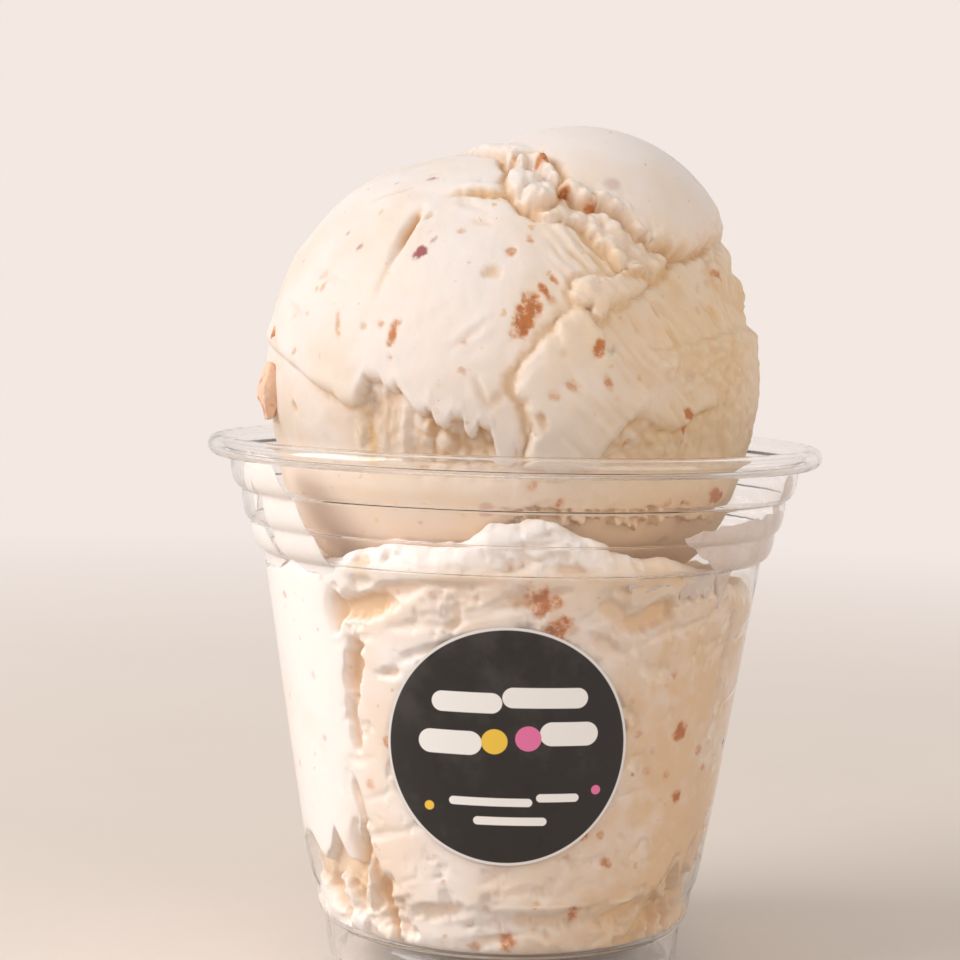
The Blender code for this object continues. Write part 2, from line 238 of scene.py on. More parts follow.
class Graph:
    """A material's node tree, with short calls for the nodes it is made of."""

    def __init__(self, name):
        self.material = bpy.data.materials.new(name)
        self.material.use_nodes = True
        self.tree = self.material.node_tree
        self.tree.nodes.clear()
        self.output = self.tree.nodes.new("ShaderNodeOutputMaterial")

    def add(self, kind, settings=None, inputs=None, output=0):
        """Any node: its settings first, then its sockets' values or links. Gives an output, or several."""
        node = self.tree.nodes.new(kind)
        for key, value in (settings or {}).items():
            setattr(node, key, value)
        for key, value in (inputs or {}).items():
            if isinstance(value, Value):
                self.tree.links.new(value.socket, node.inputs[key])
            else:
                node.inputs[key].default_value = value
        if isinstance(output, tuple):
            return [Value(self, node.outputs[each]) for each in output]
        return Value(self, node.outputs[output])

    def place(self):
        """Object coordinates."""
        return self.add("ShaderNodeTexCoord", output="Object")

    def attribute(self, name):
        """A per-point value of the mesh."""
        return self.add("ShaderNodeAttribute", {"attribute_name": name}, output="Fac")

    def colour_noise(self, size, place):
        """Noise with a value for each of three axes."""
        inputs = {"Vector": place, "Scale": 1.0 / size, "Detail": 2.0}
        return self.add("ShaderNodeTexNoise", None, inputs, "Color")

    def noise(self, size, detail=3.0, rough=0.55, place=None):
        """Noise from 0 to 1 whose features are about size metres."""
        inputs = {"Vector": place or self.place(), "Scale": 1.0 / size, "Detail": detail, "Roughness": rough}
        return self.add("ShaderNodeTexNoise", None, inputs, "Fac")

    def smooth(self, value, low, high):
        """0 below low, 1 above high, soft between."""
        settings = {"interpolation_type": "SMOOTHSTEP"}
        inputs = {"Value": value, "From Min": low, "From Max": high}
        return self.add("ShaderNodeMapRange", settings, inputs, "Result")

    def mix(self, factor, first, second):
        """A colour between two, given as colours or links."""
        return self.add("ShaderNodeMix", {"data_type": "RGBA"}, {0: factor, 6: first, 7: second}, 2)

    def bump(self, height, strength, distance):
        """A normal tilted by a height whose full range is a distance in metres."""
        inputs = {"Height": height, "Strength": strength, "Distance": distance}
        return self.add("ShaderNodeBump", None, inputs, "Normal")

    def principled(self, **inputs):
        """The main shader, its sockets named with underscores."""
        named = {key.replace("_", " "): value for key, value in inputs.items()}
        return self.add("ShaderNodeBsdfPrincipled", None, named, "BSDF")

    def finish(self, shader):
        """Joins the shader to the output and gives the material."""
        self.tree.links.new(shader.socket, self.output.inputs["Surface"])
        return self.material


def rgba(colour):
    return (colour[0], colour[1], colour[2], 1.0)


def from_srgb(red, green, blue):
    """A colour picked as 0 to 255 screen values, turned to linear."""
    picked = np.array([red, green, blue]) / 255.0
    linear = np.where(picked <= 0.04045, picked / 12.92, ((picked + 0.055) / 1.055) ** 2.4)
    return tuple(round(float(value), 4) for value in linear)


# ---------------------------------------------------------------- settings

def colour_setting(name, description, default):
    return FloatVectorProperty(name=name, description=description, subtype="COLOR", size=3,
                               min=0.0, max=1.0, default=default)


class CupSettings(PropertyGroup):
    """The clear cup."""
    wall: FloatProperty(name="Wall", description="Thickness of the cup's sheet",
                        default=SHEET * MM, unit="LENGTH")
    facets: IntProperty(name="Facets", description="Facets round the cup", default=240, min=32)
    tint: colour_setting("Tint", "Colour of light through the sheet", (0.985, 0.98, 0.978))
    clarity: FloatProperty(name="Haze", description="Roughness of the sheet", default=0.02, min=0.0, max=1.0)


class GelatoSettings(PropertyGroup):
    """The gelato's colours."""
    cream: colour_setting("Cream", "Palest gelato", from_srgb(246, 233, 225))
    # painted shade: the colour the gelato turns to on its shaded side and underneath; also its random warmer
    # stretches
    warm: colour_setting("Warm cream", "Gelato in its warmer stretches", from_srgb(236, 207, 172))
    # painted shade: the colour of shade in creases, pockets and under edges; the flecks also use it as a
    # plain tan
    hollow: colour_setting("Hollow", "Gelato deep in creases and pockets", from_srgb(224, 182, 130))
    stain: colour_setting("Stain", "Gelato round toffee bits", from_srgb(232, 188, 148))
    toffee: colour_setting("Toffee", "Toffee bits", from_srgb(195, 119, 66))
    berry: colour_setting("Berry", "Red fruit bits", from_srgb(160, 76, 78))
    speck: colour_setting("Speck", "Fine dark specks", from_srgb(120, 92, 70))
    film: colour_setting("Film", "Melted film on the wall at the left", from_srgb(246, 237, 232))
    thin_film: colour_setting("Thin film", "Thinner film on the wall at the right", from_srgb(246, 226, 213))


class LabelSettings(PropertyGroup):
    """The label on the front."""
    ground: colour_setting("Ground", "Dark field of the label", from_srgb(31, 27, 26))
    cloud: colour_setting("Cloud", "Its cloudier patches", from_srgb(61, 56, 54))
    mark: colour_setting("Mark", "Pale shapes", from_srgb(246, 242, 238))
    first: colour_setting("First accent", "Yellow shapes", from_srgb(245, 200, 70))
    second: colour_setting("Second accent", "Pink shapes", from_srgb(232, 116, 166))


class StageSettings(PropertyGroup):
    """Floor, lamps and camera."""
    floor: colour_setting("Floor", "Pale floor", from_srgb(246, 231, 218))
    backdrop: colour_setting("Backdrop", "Pale backdrop", from_srgb(243, 232, 226))
    fade_start: FloatProperty(name="Fade start", description="Where the floor starts to become the backdrop",
                              default=0.10, unit="LENGTH")
    fade_end: FloatProperty(name="Fade end", description="Where it has become the backdrop",
                            default=0.75, unit="LENGTH")
    key_power: FloatProperty(name="Key", description="Power of the window-like lamp on the left",
                             default=6.9, unit="POWER")
    fill_power: FloatProperty(name="Fill", description="Power of the soft lamp on the right",
                              default=2.2, unit="POWER")
    ambient: FloatProperty(name="Ambient", description="Strength of the even light", default=0.50)
    distance: FloatProperty(name="Distance", description="Camera's distance in front of the cup's axis",
                            default=0.370, unit="LENGTH")
    height: FloatProperty(name="Height", description="Camera's height above the floor",
                          default=0.1039, unit="LENGTH")
    lens: FloatProperty(name="Lens", description="Focal length in millimetres", default=86.42)
    pitch: FloatProperty(name="Pitch", description="How far the camera looks down",
                         default=radians(4.15), subtype="ANGLE")
    turn: FloatProperty(name="Turn", description="How far the camera is turned to the left",
                        default=radians(0.84), subtype="ANGLE")
    roll: FloatProperty(name="Roll", description="How far the camera leans", default=radians(1.43),
                        subtype="ANGLE")


# ---------------------------------------------------------------- cup

RIM_RADIUS = (CUP_HIGH[0] - CUP_LOW[0]) / 2.0
BEAD_RADIUS = 1.6
BEAD_AXIS = (RIM_RADIUS - BEAD_RADIUS, CUP_HIGH[2] - BEAD_RADIUS)
RINGS = ((45.4, 80.2), (43.5, 75.5), (42.0, 70.4), (39.9, 65.8))   # outer radius at each upper edge
WALL_FOOT = (32.0, 15.5)
LOWER_SIDE = (WALL_FOOT, (30.4, 12.0), (30.2, 9.2), (29.7, 7.8), (28.8, 7.0), (28.3, 1.4))
FLOOR_LEVEL = 5.8
RINGS_FOOT = 64.2               # height on the plain wall just below the rings


def rounded(points, passes):
    """An open outline with its corners cut: each pass replaces a corner by points a quarter away."""
    outline = np.array(points, dtype=float)
    for _ in range(passes):
        near = 0.75 * outline[:-1] + 0.25 * outline[1:]
        far = 0.25 * outline[:-1] + 0.75 * outline[1:]
        cut = np.stack([near, far], axis=1).reshape(-1, 2)
        outline = np.concatenate([outline[:1], cut[1:-1], outline[-1:]])
    return outline


def offset(outline, distance):
    """An outline moved sideways along its own normals, to the left of its direction."""
    direction = np.gradient(outline, axis=0)
    direction /= np.linalg.norm(direction, axis=1)[:, None]
    return outline + distance * np.stack([-direction[:, 1], direction[:, 0]], axis=1)


def ring_outline(steps=9):
    """Outer side of the stacking rings: quarter ellipses, plumb above and turned in below."""
    fraction = np.linspace(0.0, 0.98, steps)
    parts = []
    for (radius, top), (inner, low) in zip(RINGS[:-1], RINGS[1:]):
        bulge = np.sqrt(1.0 - fraction ** 2)
        parts.append(np.stack([inner + (radius - inner) * bulge, top + (low - top) * fraction], axis=1))
    return np.concatenate(parts + [np.array([RINGS[-1]])])


def cup_outer(height):
    """Outer radius of the cup at a height on its side."""
    side = np.concatenate([ring_outline(), np.array(LOWER_SIDE)])[::-1]
    return np.interp(height, side[:, 1], side[:, 0])


def cup_section(wall):
    """The sheet's section, inner face then outer face, from the raised floor's middle round the rim.

    Each stretch is worked out on the face where its corners are sharpest, and its other face is that one
    moved sideways by the sheet: low down from the inner face, at the rings from the outer, and at the rim
    from the curl's outside.
    """
    angles = np.radians(np.linspace(180.0, -135.0, 40))
    curl = np.stack([BEAD_AXIS[0] + BEAD_RADIUS * np.cos(angles),
                     BEAD_AXIS[1] + BEAD_RADIUS * np.sin(angles)], axis=1)
    seam = np.array([(cup_outer(RINGS_FOOT), RINGS_FOOT)])
    foot = np.array(((28.3 - wall, 1.4), (27.7 - wall, wall), (26.4 + wall, wall), (25.4 + wall, 1.4),
                     (24.4 + wall, 5.0), (23.4 + wall, FLOOR_LEVEL), (12.0, FLOOR_LEVEL), (0.4, FLOOR_LEVEL)))
    side = np.concatenate([seam, np.array(LOWER_SIDE[:-1])]) - np.array([wall, 0.0])
    low = rounded(np.concatenate([foot[::-1], side[::-1]]), 2)
    above = np.array([(cup_outer(RINGS_FOOT + 0.3), RINGS_FOOT + 0.3)])
    neck = np.array([(RINGS[0][0] + 0.45, BEAD_AXIS[1])])
    high = rounded(np.concatenate([above, ring_outline()[::-1], neck]), 2)[:-1]
    inner = np.concatenate([low, offset(high, wall), curl])
    outer = np.concatenate([offset(low, -wall), high, offset(curl, -wall)])
    return inner, outer


def clear_material(settings):
    """Clear sheet: smooth glass to the eye, with faint flow marks; lamps and bounced light pass it."""
    graph = Graph("clear_plastic")
    place = graph.place()
    ripple = graph.noise(0.011, 2.0, 0.5, place) + 0.4 * graph.noise(0.003, 1.0, 0.5, place)
    sheet = graph.principled(
        Base_Color=rgba(settings.tint), Roughness=settings.clarity, IOR=1.5, Transmission_Weight=1.0,
        Normal=graph.bump(ripple, 0.05, 0.0006))
    open_way = graph.add("ShaderNodeBsdfTransparent", None, {"Color": (0.97, 0.965, 0.96, 1.0)}, "BSDF")
    path = graph.add("ShaderNodeLightPath", output="Is Shadow Ray")
    return graph.finish(graph.add("ShaderNodeMixShader", None, {0: path, 1: sheet, 2: open_way}, "Shader"))


class GELATO_OT_cup(Operator):
    """Turn the clear cup's section round its axis"""
    bl_idname = "gelato.cup"
    bl_label = "Cup"

    def execute(self, context):
        settings = context.scene.gelato_cup
        inner, outer = cup_section(settings.wall / MM)
        section = np.concatenate([inner, outer[::-1]])
        around = np.linspace(-180.0, 180.0, settings.facets, endpoint=False)
        rows = on_bearing(around[None, :], section[:, 0][:, None], section[:, 1][:, None])
        top = np.array([0.0, 0.0, FLOOR_LEVEL])
        under = np.array([0.0, 0.0, section[-1, 1]])
        points, faces = skin(rows, top, under)
        cup = put_mesh("cup_shell", points, faces, clear_material(settings))
        finish(cup, "clear_plastic", "cup")
        return {"FINISHED"}


# ---------------------------------------------------------------- gelato material

# Flecks in the gelato: size of the lattice (m), share of its cells, colour, strength
FLECKS = ((0.0052, 0.60, "toffee", 0.70), (0.0085, 0.40, "berry", 0.40), (0.0031, 0.60, "hollow", 0.85),
          (0.0020, 0.30, "stain", 0.85), (0.0094, 0.50, "speck", 0.60))


def gelato_material(settings, name, lift=0.0):
    """Frozen cream: pale and warmer stretches at random, painted shade on the shaded side, underneath and in
    creases, stains and bits, faint soft bump.

    The palest colour is moved towards white by the share called lift: painted light, a lighter copy of the
    material.
    """
    graph = Graph(name)
    place = graph.place()
    drift = graph.noise(0.016, 3.0, 0.5, place)
    fine = graph.noise(0.0011, 3.0, 0.6, place)
    hollow = graph.attribute("hollow")
    warmth = graph.attribute("warmth")
    grain = graph.attribute("grain")
    # random warmer stretches plus painted shade: warmer on the side away from the key lamp and underneath,
    # paler on top
    shade = graph.smooth(drift, 0.35, 0.72) * 0.45 + warmth
    cream = tuple(part + (1.0 - part) * lift for part in settings.cream)
    body = graph.mix(shade.under(1.0).over(0.0), rgba(cream), rgba(settings.warm))
    # painted shade in creases, pockets and under edges, in a darker tan
    body = graph.mix(hollow, body, rgba(settings.hollow))

    shift = graph.colour_noise(0.0012, place)
    bend = (0.0012, 0.0012, 0.0012)
    bent = graph.add("ShaderNodeVectorMath", {"operation": "MULTIPLY_ADD"}, {0: shift, 1: bend, 2: place})

    def flecks(size, share, colour, strength, below):
        """Small bits of many sizes at a share of a lattice's cells, each darker or fainter by chance."""
        cells = {"Vector": bent, "Scale": 1.0 / size}
        distance, chance = graph.add("ShaderNodeTexVoronoi", None, cells, ("Distance", "Color"))
        pick, width, depth = graph.add("ShaderNodeSeparateColor", None, {0: chance}, (0, 1, 2))
        radius = 0.05 + width * width * 0.15
        dot = 1.0 - graph.smooth(distance / radius, 0.4, 1.2)
        chosen = graph.smooth(pick, 1.0 - share - 0.01, 1.0 - share)
        return graph.mix(dot * chosen * (0.25 + depth * 0.75) * strength, below, colour)

    for size, share, colour, strength in FLECKS:
        body = flecks(size, share, rgba(getattr(settings, colour)), strength, body)
    break_up = graph.smooth(fine + 0.35 * graph.noise(0.0004, 2.0, 0.6, place), 0.42, 0.78)
    toffee = graph.attribute("toffee")
    berry = graph.attribute("berry")
    uneven = 0.5 + break_up * 0.8
    body = graph.mix(graph.smooth(toffee, 0.0, 0.6) * 0.7, body, rgba(settings.stain))
    body = graph.mix(graph.smooth(toffee * uneven, 0.22, 0.98) * 0.95, body, rgba(settings.toffee))
    body = graph.mix(graph.smooth(berry * uneven, 0.05, 1.0) * 0.95, body, rgba(settings.berry))
    gloss = graph.smooth(graph.noise(0.008, 2.0, 0.5, place), 0.4, 0.7)
    height = fine * 0.5 + graph.noise(0.0028, 2.0, 0.5, place)
    height = height + grain * graph.noise(0.0006, 2.0, 0.7, place) * 2.4
    shader = graph.principled(
        Base_Color=body, Roughness=0.56 - gloss * 0.2 - grain * 0.1, IOR=1.35,
        Normal=graph.bump(height, 0.25, 0.0003), Subsurface_Weight=0.15, Subsurface_Scale=0.002,
        Subsurface_Radius=(1.0, 0.6, 0.35))
    return graph.finish(shader)


# ---------------------------------------------------------------- ball of gelato

BALL_RADIUS = 39.2
SEAT_RADIUS = 38.5              # the underside, squatter than a sphere
SEAT_DEPTH = 38.2
SEAT_POWER = 2.6
BALL_CENTRE = np.array([-0.6, 0.0, BALL_LOW[2] + 38.6])
CAP_CENTRE = BALL_CENTRE + np.array([9.6, -7.0, 14.0])
CAP_RADIUS = 25.3
LEAN = 0.3                      # fuller to the left, flatter to the right
BROW = (-74.0, 80.0)            # flattened brow beside the fold
FINE_TOP = 66.0                 # elevations between which the rows of points are closest
FINE_LOW = -36.0
LEDGE_LEVEL = 43.6              # elevation of the ledge beside the fold

# Outlines are bearings and elevations on the ball, in degrees; each is followed by a middle.
FOLD = (
    (-5.5, 62), (-4.0, 56), (2.0, 54.5), (8.0, 52.0), (11.5, 48.0), (12.7, 45.5), (15.8, 42.5),
    (20.7, 40.5), (24.5, 39.2), (28.0, 37.4), (30.3, 34.5), (34.4, 32.3), (36.7, 31.0), (41.4, 29.6),
    (46.4, 29.4), (54.7, 31.2), (63.6, 34.1), (80.0, 35.0), (105, 34), (130, 36), (155, 45), (175, 58),
    (-120, 72), (-60, 72))
FOLD_MIDDLE = (58.0, 62.0)
KNOB = (
    (-3.8, 49.7), (-2.0, 54.5), (5.5, 57.5), (11.0, 53.2), (12.2, 46.2), (9.4, 41.4), (4.3, 39.6),
    (0.6, 41.6), (-2.0, 45.6))
KNOB_MIDDLE = (4.0, 48.0)
SHELF = (
    (2.5, 40.5), (8.4, 36.6), (14.6, 36.4), (18.6, 35.0), (20.3, 32.5), (22.9, 28.6), (25.0, 25.0),
    (29.1, 23.9), (34.2, 23.4), (37.5, 25.5), (39.6, 30.0), (36.0, 36.0), (24.0, 43.0), (12.0, 47.0),
    (4.0, 46.0))
SHELF_MIDDLE = (23.0, 35.8)
BLOB = (
    (12.4, 19.8), (13.6, 22.0), (18.7, 23.0), (22.4, 22.4), (26.9, 24.8), (31.5, 25.0), (33.0, 22.6),
    (30.0, 20.4), (25.4, 18.4), (21.4, 16.6), (19.2, 13.4), (17.5, 13.6), (16.9, 16.2), (14.0, 16.6))
BLOB_MIDDLE = (19.5, 19.8)
LOBE = (
    (14.6, 17.2), (12.0, 15.2), (9.8, 13.4), (8.9, 10.8), (5.8, 9.2), (4.7, 6.5), (2.4, 3.8), (0.4, 0.6),
    (0.6, -2.4), (3.0, -4.5), (4.0, -7.5), (4.6, -11.7), (3.0, -17.6), (12.0, -21.0), (21.7, -17.5),
    (24.3, -11.5), (27.2, -8.0), (31.0, -3.2), (30.7, 5.0), (26.5, 8.3), (22.4, 8.3), (21.0, 6.6),
    (19.6, 7.6), (20.1, 9.8), (18.4, 13.0), (16.4, 16.0))
LOBE_MIDDLE = (14.5, -3.0)
FRINGE = ((54.0, 25.0), (57.0, 22.6), (63.0, 20.4), (70.0, 20.2), (84.0, 19.0), (100.0, 20.0), (104.0, 38.0),
          (84.0, 44.0), (70.0, 38.0), (60.0, 33.0))
FRINGE_MIDDLE = (78.0, 30.0)
SLAB = ((59.0, 11.4), (66.0, 12.6), (76.0, 11.8), (95.0, 10.0), (112.0, 6.0), (112.0, -18.0), (90.0, -24.0),
        (64.0, -22.0), (57.5, -8.0), (57.0, 3.0))
SLAB_MIDDLE = (82.0, -5.0)
# the smooth mass over the lower left ends in a lip, and another hangs at the lower right
LIP = (
    (-112, 9), (-95, 8), (-80, 6), (-68, 4.2), (-56, 0.2), (-50, -2.7), (-44, -4.4), (-39.3, -5.5),
    (-36, -5.1), (-34.2, -3.4), (-33.4, -1.0), (-31, -1.2), (-27, -1.5), (-25, -2.8), (-22.8, -5.0),
    (-20.8, -6.2), (-16, -7.6), (-12, -8.6), (-8, -9.8), (-4, -12.0), (2, -15.0))
RIGHT_LIP = ((14, -19), (19.5, -16.0), (21.5, -13.6), (24.3, -10.3), (28.4, -7.3), (30.7, -7.3), (34.7, -9.8),
             (40.1, -10.8), (44.0, -9.0), (47.0, -6.4), (60, -3.0))

# Drips that hang from the left lip: bearing, length and half width in degrees
DRIPS = (
    (-38.5, 1.6, 3.4), (-27.5, 1.6, 1.8), (-20.6, 1.5, 2.0), (-15.2, 3.2, 2.3), (-8.8, 4.0, 1.7),
    (-1.4, 4.6, 2.4))

# Marks: bearing, elevation, half length, half width (degrees), tilt, strength
TOFFEE_BITS = (
    (2.7, 14.4, 6.6, 3.2, 66, 1.0), (6.6, 20.0, 3.0, 1.2, 122, 0.9), (9.2, 22.6, 2.0, 0.8, 120, 0.6),
    (17.9, 7.6, 2.6, 1.6, 80, 0.9), (9.8, 53.2, 2.4, 1.8, 140, 0.9), (13.0, 43.8, 2.8, 2.0, 60, 0.95),
    (-26.8, 9.8, 3.8, 1.6, 80, 0.7), (-30.2, 11.5, 1.4, 1.2, 60, 0.45), (-42.3, 10.6, 4.6, 1.3, 108, 0.42),
    (42.4, -6.2, 2.4, 1.4, 128, 1.0), (43.8, -9.0, 2.8, 1.3, 80, 0.95), (43.0, -13.0, 2.0, 0.8, 85, 0.5),
    (12.4, -0.6, 2.2, 1.6, 150, 0.5), (9.0, -2.6, 1.8, 1.4, 150, 0.4), (20.2, 0.2, 2.4, 1.2, 115, 0.55),
    (20.6, 40.0, 2.0, 1.3, 165, 0.8), (27.0, -13.0, 1.6, 1.2, 60, 0.5),
    (-51.0, 19.6, 2.6, 1.1, 50, 0.4), (-27.2, 4.6, 1.0, 0.9, 0, 0.4), (-10.4, 8.1, 1.2, 1.0, 0, 0.4),
    (-1.2, 28.8, 1.7, 1.5, 0, 0.62), (-14.2, 33.8, 1.5, 1.2, 0, 0.5), (3.6, 31.6, 1.2, 0.9, 0, 0.5),
    (58.0, 24.6, 4.4, 1.3, 160, 0.62), (-57.0, 5.0, 1.6, 1.0, 60, 0.45), (8.0, 18.0, 2.4, 1.6, 130, 0.42),
    (128.0, 22.0, 4.0, 2.2, 40, 0.9), (160.0, -2.0, 3.0, 1.8, 110, 0.8), (-150.0, 30.0, 3.4, 1.6, 70, 0.9),
    (-172.0, 8.0, 2.0, 1.6, 20, 0.7), (-128.0, 4.0, 2.6, 1.4, 60, 0.8), (100.0, -6.0, 2.4, 1.2, 30, 0.7),
    (60.5, -25.5, 4.6, 2.6, 165, 0.95), (5.0, -22.0, 2.4, 1.4, 30, 0.5), (-20.0, -20.0, 1.8, 1.2, 0, 0.45),
    (12.0, -26.0, 1.8, 1.4, 60, 0.7), (-72.0, 8.6, 2.2, 1.6, 100, 0.8))
BERRY_BITS = (
    (-23.7, 28.2, 2.2, 1.8, 40, 1.0), (-21.2, 31.2, 1.4, 0.6, 50, 0.4), (-22.6, 33.4, 1.8, 0.5, 50, 0.3),
    (-43.0, 29.5, 1.3, 1.1, 60, 0.5), (-51.0, 33.2, 1.3, 0.9, 60, 0.4), (-31.3, 50.6, 1.8, 1.2, 20, 0.6),
    (-40.5, 45.0, 2.4, 0.6, 20, 0.4), (-46.0, 49.0, 1.4, 0.7, 20, 0.45), (65.0, 52.0, 2.2, 0.6, 140, 0.6),
    (140.0, 10.0, 1.6, 1.2, 0, 0.8), (-140.0, 12.0, 1.4, 1.1, 0, 0.7), (175.0, 35.0, 1.5, 1.2, 0, 0.8))
# Shallow pits with painted shade on their floor: bearing, elevation, half length, half width, tilt, strength
PITS = (
    (-5.2, 24.0, 2.4, 1.8, 30, 0.8), (-24.5, 37.6, 1.6, 0.7, 55, 0.8), (-34.8, 11.0, 1.0, 0.8, 0, 0.7),
    (-60.0, 12.6, 1.4, 0.8, 60, 0.5), (4.6, 18.2, 1.6, 1.0, 70, 0.6), (33.0, -13.8, 1.4, 1.0, 60, 0.7),
    (-15.5, -1.2, 1.0, 0.7, 0, 0.3), (-3.0, -3.5, 2.8, 1.6, 45, 0.5), (-62.0, -8.0, 1.9, 1.3, 110, 0.9),
    (28.0, 12.0, 1.6, 0.9, 100, 0.5), (47.0, 16.5, 1.2, 0.8, 90, 0.6), (10.5, 6.0, 1.0, 0.8, 0, 0.4),
    (6.4, -7.6, 2.4, 1.1, 105, 0.9), (-52.0, 22.6, 2.2, 0.9, 40, 0.5), (-9.0, 36.4, 3.4, 1.0, 160, 0.35),
    (-46.6, -4.6, 1.2, 1.9, 20, 0.5), (22.5, -3.0, 1.0, 0.7, 0, 0.3), (38.5, 3.0, 1.6, 0.7, 120, 0.6),
    (33.5, 16.0, 1.8, 0.6, 110, 0.6), (55.0, 2.0, 1.6, 0.8, 70, 0.5), (48.5, 21.5, 1.6, 0.7, 60, 0.5))
# Shallow creases: start and end as bearing and elevation, depth (mm)
CREASES = (
    ((-66.0, 16.0), (-56.0, 12.5), 0.35), ((-72.0, 9.5), (-66.0, 5.0), 0.35),
    ((-58.0, 24.0), (-42.0, 20.0), 0.22), ((-52.0, 42.0), (-38.0, 47.5), 0.25),
    ((-14.0, 6.0), (-4.0, 14.0), 0.22), ((-8.0, 1.0), (-4.5, -7.0), 0.4),
    ((-18.0, 43.0), (-8.0, 39.5), 0.3), ((36.0, 14.0), (40.0, 4.0), 0.35),
    ((46.0, 20.0), (55.0, 13.0), 0.35), ((52.0, -2.0), (58.0, -16.0), 0.45),
    ((62.0, -1.0), (67.0, -18.0), 0.45), ((30.0, 20.0), (40.0, 13.0), 0.3), ((45.0, 2.0), (56.0, 6.0), 0.3),
    ((110.0, 30.0), (150.0, 18.0), 0.3), ((-160.0, 20.0), (-130.0, 28.0), 0.3))


def directions(bearing, elevation):
    """Unit vectors at bearings and elevations in degrees."""
    level = np.cos(np.radians(elevation))
    return on_bearing(bearing, level, np.sin(np.radians(elevation)))


def inside(way, outline, middle, wander=0.0):
    """Degrees inside a closed outline that each great circle from its middle crosses once."""
    axis = directions(*map(float, middle))
    up = np.array([0.0, 0.0, 1.0]) - axis * axis[2]
    up = up / np.linalg.norm(up)
    right = np.cross(up, axis)

    def polar(unit):
        turn = np.degrees(np.arctan2(unit @ up, unit @ right))
        return turn, np.degrees(np.arccos(np.clip(unit @ axis, -1.0, 1.0)))

    corner_turn, corner_reach = polar(directions(*np.array(outline, dtype=float).T))
    turn, away = polar(way)
    return np.interp(turn, corner_turn, corner_reach, period=360.0) + wander - away


def plump(edge, width):
    """A rounded edge: nothing outside, rising steeply and levelling off a width further in."""
    return np.sqrt(1.0 - (1.0 - np.clip(edge / width, 0.0, 1.0)) ** 2)


def bell(value, width):
    return np.exp(-(value / width) ** 2)


def window(value, start, full, fade, end):
    """0 outside start and end, 1 between full and fade."""
    return smooth(value, start, full) * (1.0 - smooth(value, fade, end))


class Relief:
    """Heights over a ball, with the painted shade and the grain that go with them, at a grid of bearings and
    elevations.
    """

    def __init__(self, bearing, elevation):
        self.bearing = wrapped(bearing)
        self.elevation = elevation
        self.way = directions(bearing, elevation)
        self.spot = self.way * BALL_RADIUS
        self.soft_rag = fractal(self.spot, 6.0, 2, 3)
        self.rag = fractal(self.spot, 3.6, 3, 9, 0.6)
        self.fine = fractal(self.spot, 1.5, 3, 13, 0.6)
        self.lumps = fractal(self.spot, 14.0, 3, 21)
        self.reach = np.full(bearing.shape, BALL_RADIUS)
        self.hollow = np.zeros(bearing.shape)
        self.grain = np.zeros(bearing.shape)

    def lift(self, amount):
        """Raises the surface, or lowers it where the amount is below nothing."""
        self.reach = self.reach + amount

    def tint(self, amount):
        """Paints shade into creases, pockets and under edges, keeping what is more deeply shaded already."""
        self.hollow = np.maximum(self.hollow, amount)

    def bury(self, share):
        """Covers the painted shade and grain made so far with fresh gelato."""
        self.hollow = self.hollow * (1.0 - share)
        self.grain = self.grain * (1.0 - share)

    def spots(self, marks, ragged):
        """Soft oval marks with ragged edges, strongest of those that reach a point."""
        total = np.zeros(self.bearing.shape)
        for middle, level, length, width, tilt, strength in marks:
            across = wrapped(self.bearing - middle) * np.cos(np.radians(self.elevation))
            up = self.elevation - level
            turn = radians(tilt)
            along = (across * cos(turn) + up * sin(turn)) / length
            aside = (up * cos(turn) - across * sin(turn)) / width
            away = np.hypot(along, aside) + ragged * self.fine
            total = np.maximum(total, strength * (1.0 - smooth(away, 0.25, 1.25)))
        return total

    def from_line(self, start, end):
        """Degrees from a straight mark, and how far along it from 0 to 1."""
        flat = cos(radians((start[1] + end[1]) / 2.0))
        step = np.array([(end[0] - start[0]) * flat, end[1] - start[1]])
        across = wrapped(self.bearing - start[0]) * flat
        up = self.elevation - start[1]
        along = np.clip((across * step[0] + up * step[1]) / (step @ step), 0.0, 1.0)
        return np.hypot(across - along * step[0], up - along * step[1]), along

    def below_line(self, line):
        """Degrees below a line of bearings and levels."""
        return np.interp(self.bearing, *zip(*line)) - self.elevation


def round_body(relief):
    """A sphere that leans left, flattened at its brow and back, gently lumpy."""
    way = relief.way
    relief.lift(-LEAN * way[..., 0] - 0.5 * np.maximum(way[..., 1], 0.0))
    brow = np.degrees(np.arccos(np.clip(way @ directions(*BROW), -1.0, 1.0)))
    relief.lift(-3.6 * np.exp(-0.5 * (brow / 18.0) ** 2))
    step_in = window(relief.bearing, 52.0, 72.0, 112.0, 130.0)
    step_in = step_in * window(relief.elevation, 10.5, 14.0, 38.0, 46.0)
    relief.lift(-0.9 * step_in)
    relief.lift(0.30 * relief.lumps + 0.12 * fractal(relief.spot, 4.4, 3, 33))


def shoulder_dent(relief):
    """A dent drawn down the left shoulder, deepest at its top, with a fine trail below; painted shade fills
    it, most at the top.
    """
    away, along = relief.from_line((-28.3, 39.6), (-33.5, 15.0))
    away = away + 0.35 * relief.rag
    deep = bell(away, 1.15) * smooth(along, 0.0, 0.12) * (1.0 - smooth(along, 0.22, 0.7))
    trail = bell(away, 0.8) * (1.0 - smooth(along, 0.7, 1.0))
    relief.lift(-1.35 * deep - 0.3 * trail + 0.2 * bell(away - 2.6, 1.8) * (1.0 - along))
    relief.tint(1.1 * bell(away, 0.9) * smooth(along, 0.0, 0.06) * (1.0 - smooth(along, 0.25, 0.5)))
    relief.tint(0.35 * trail)


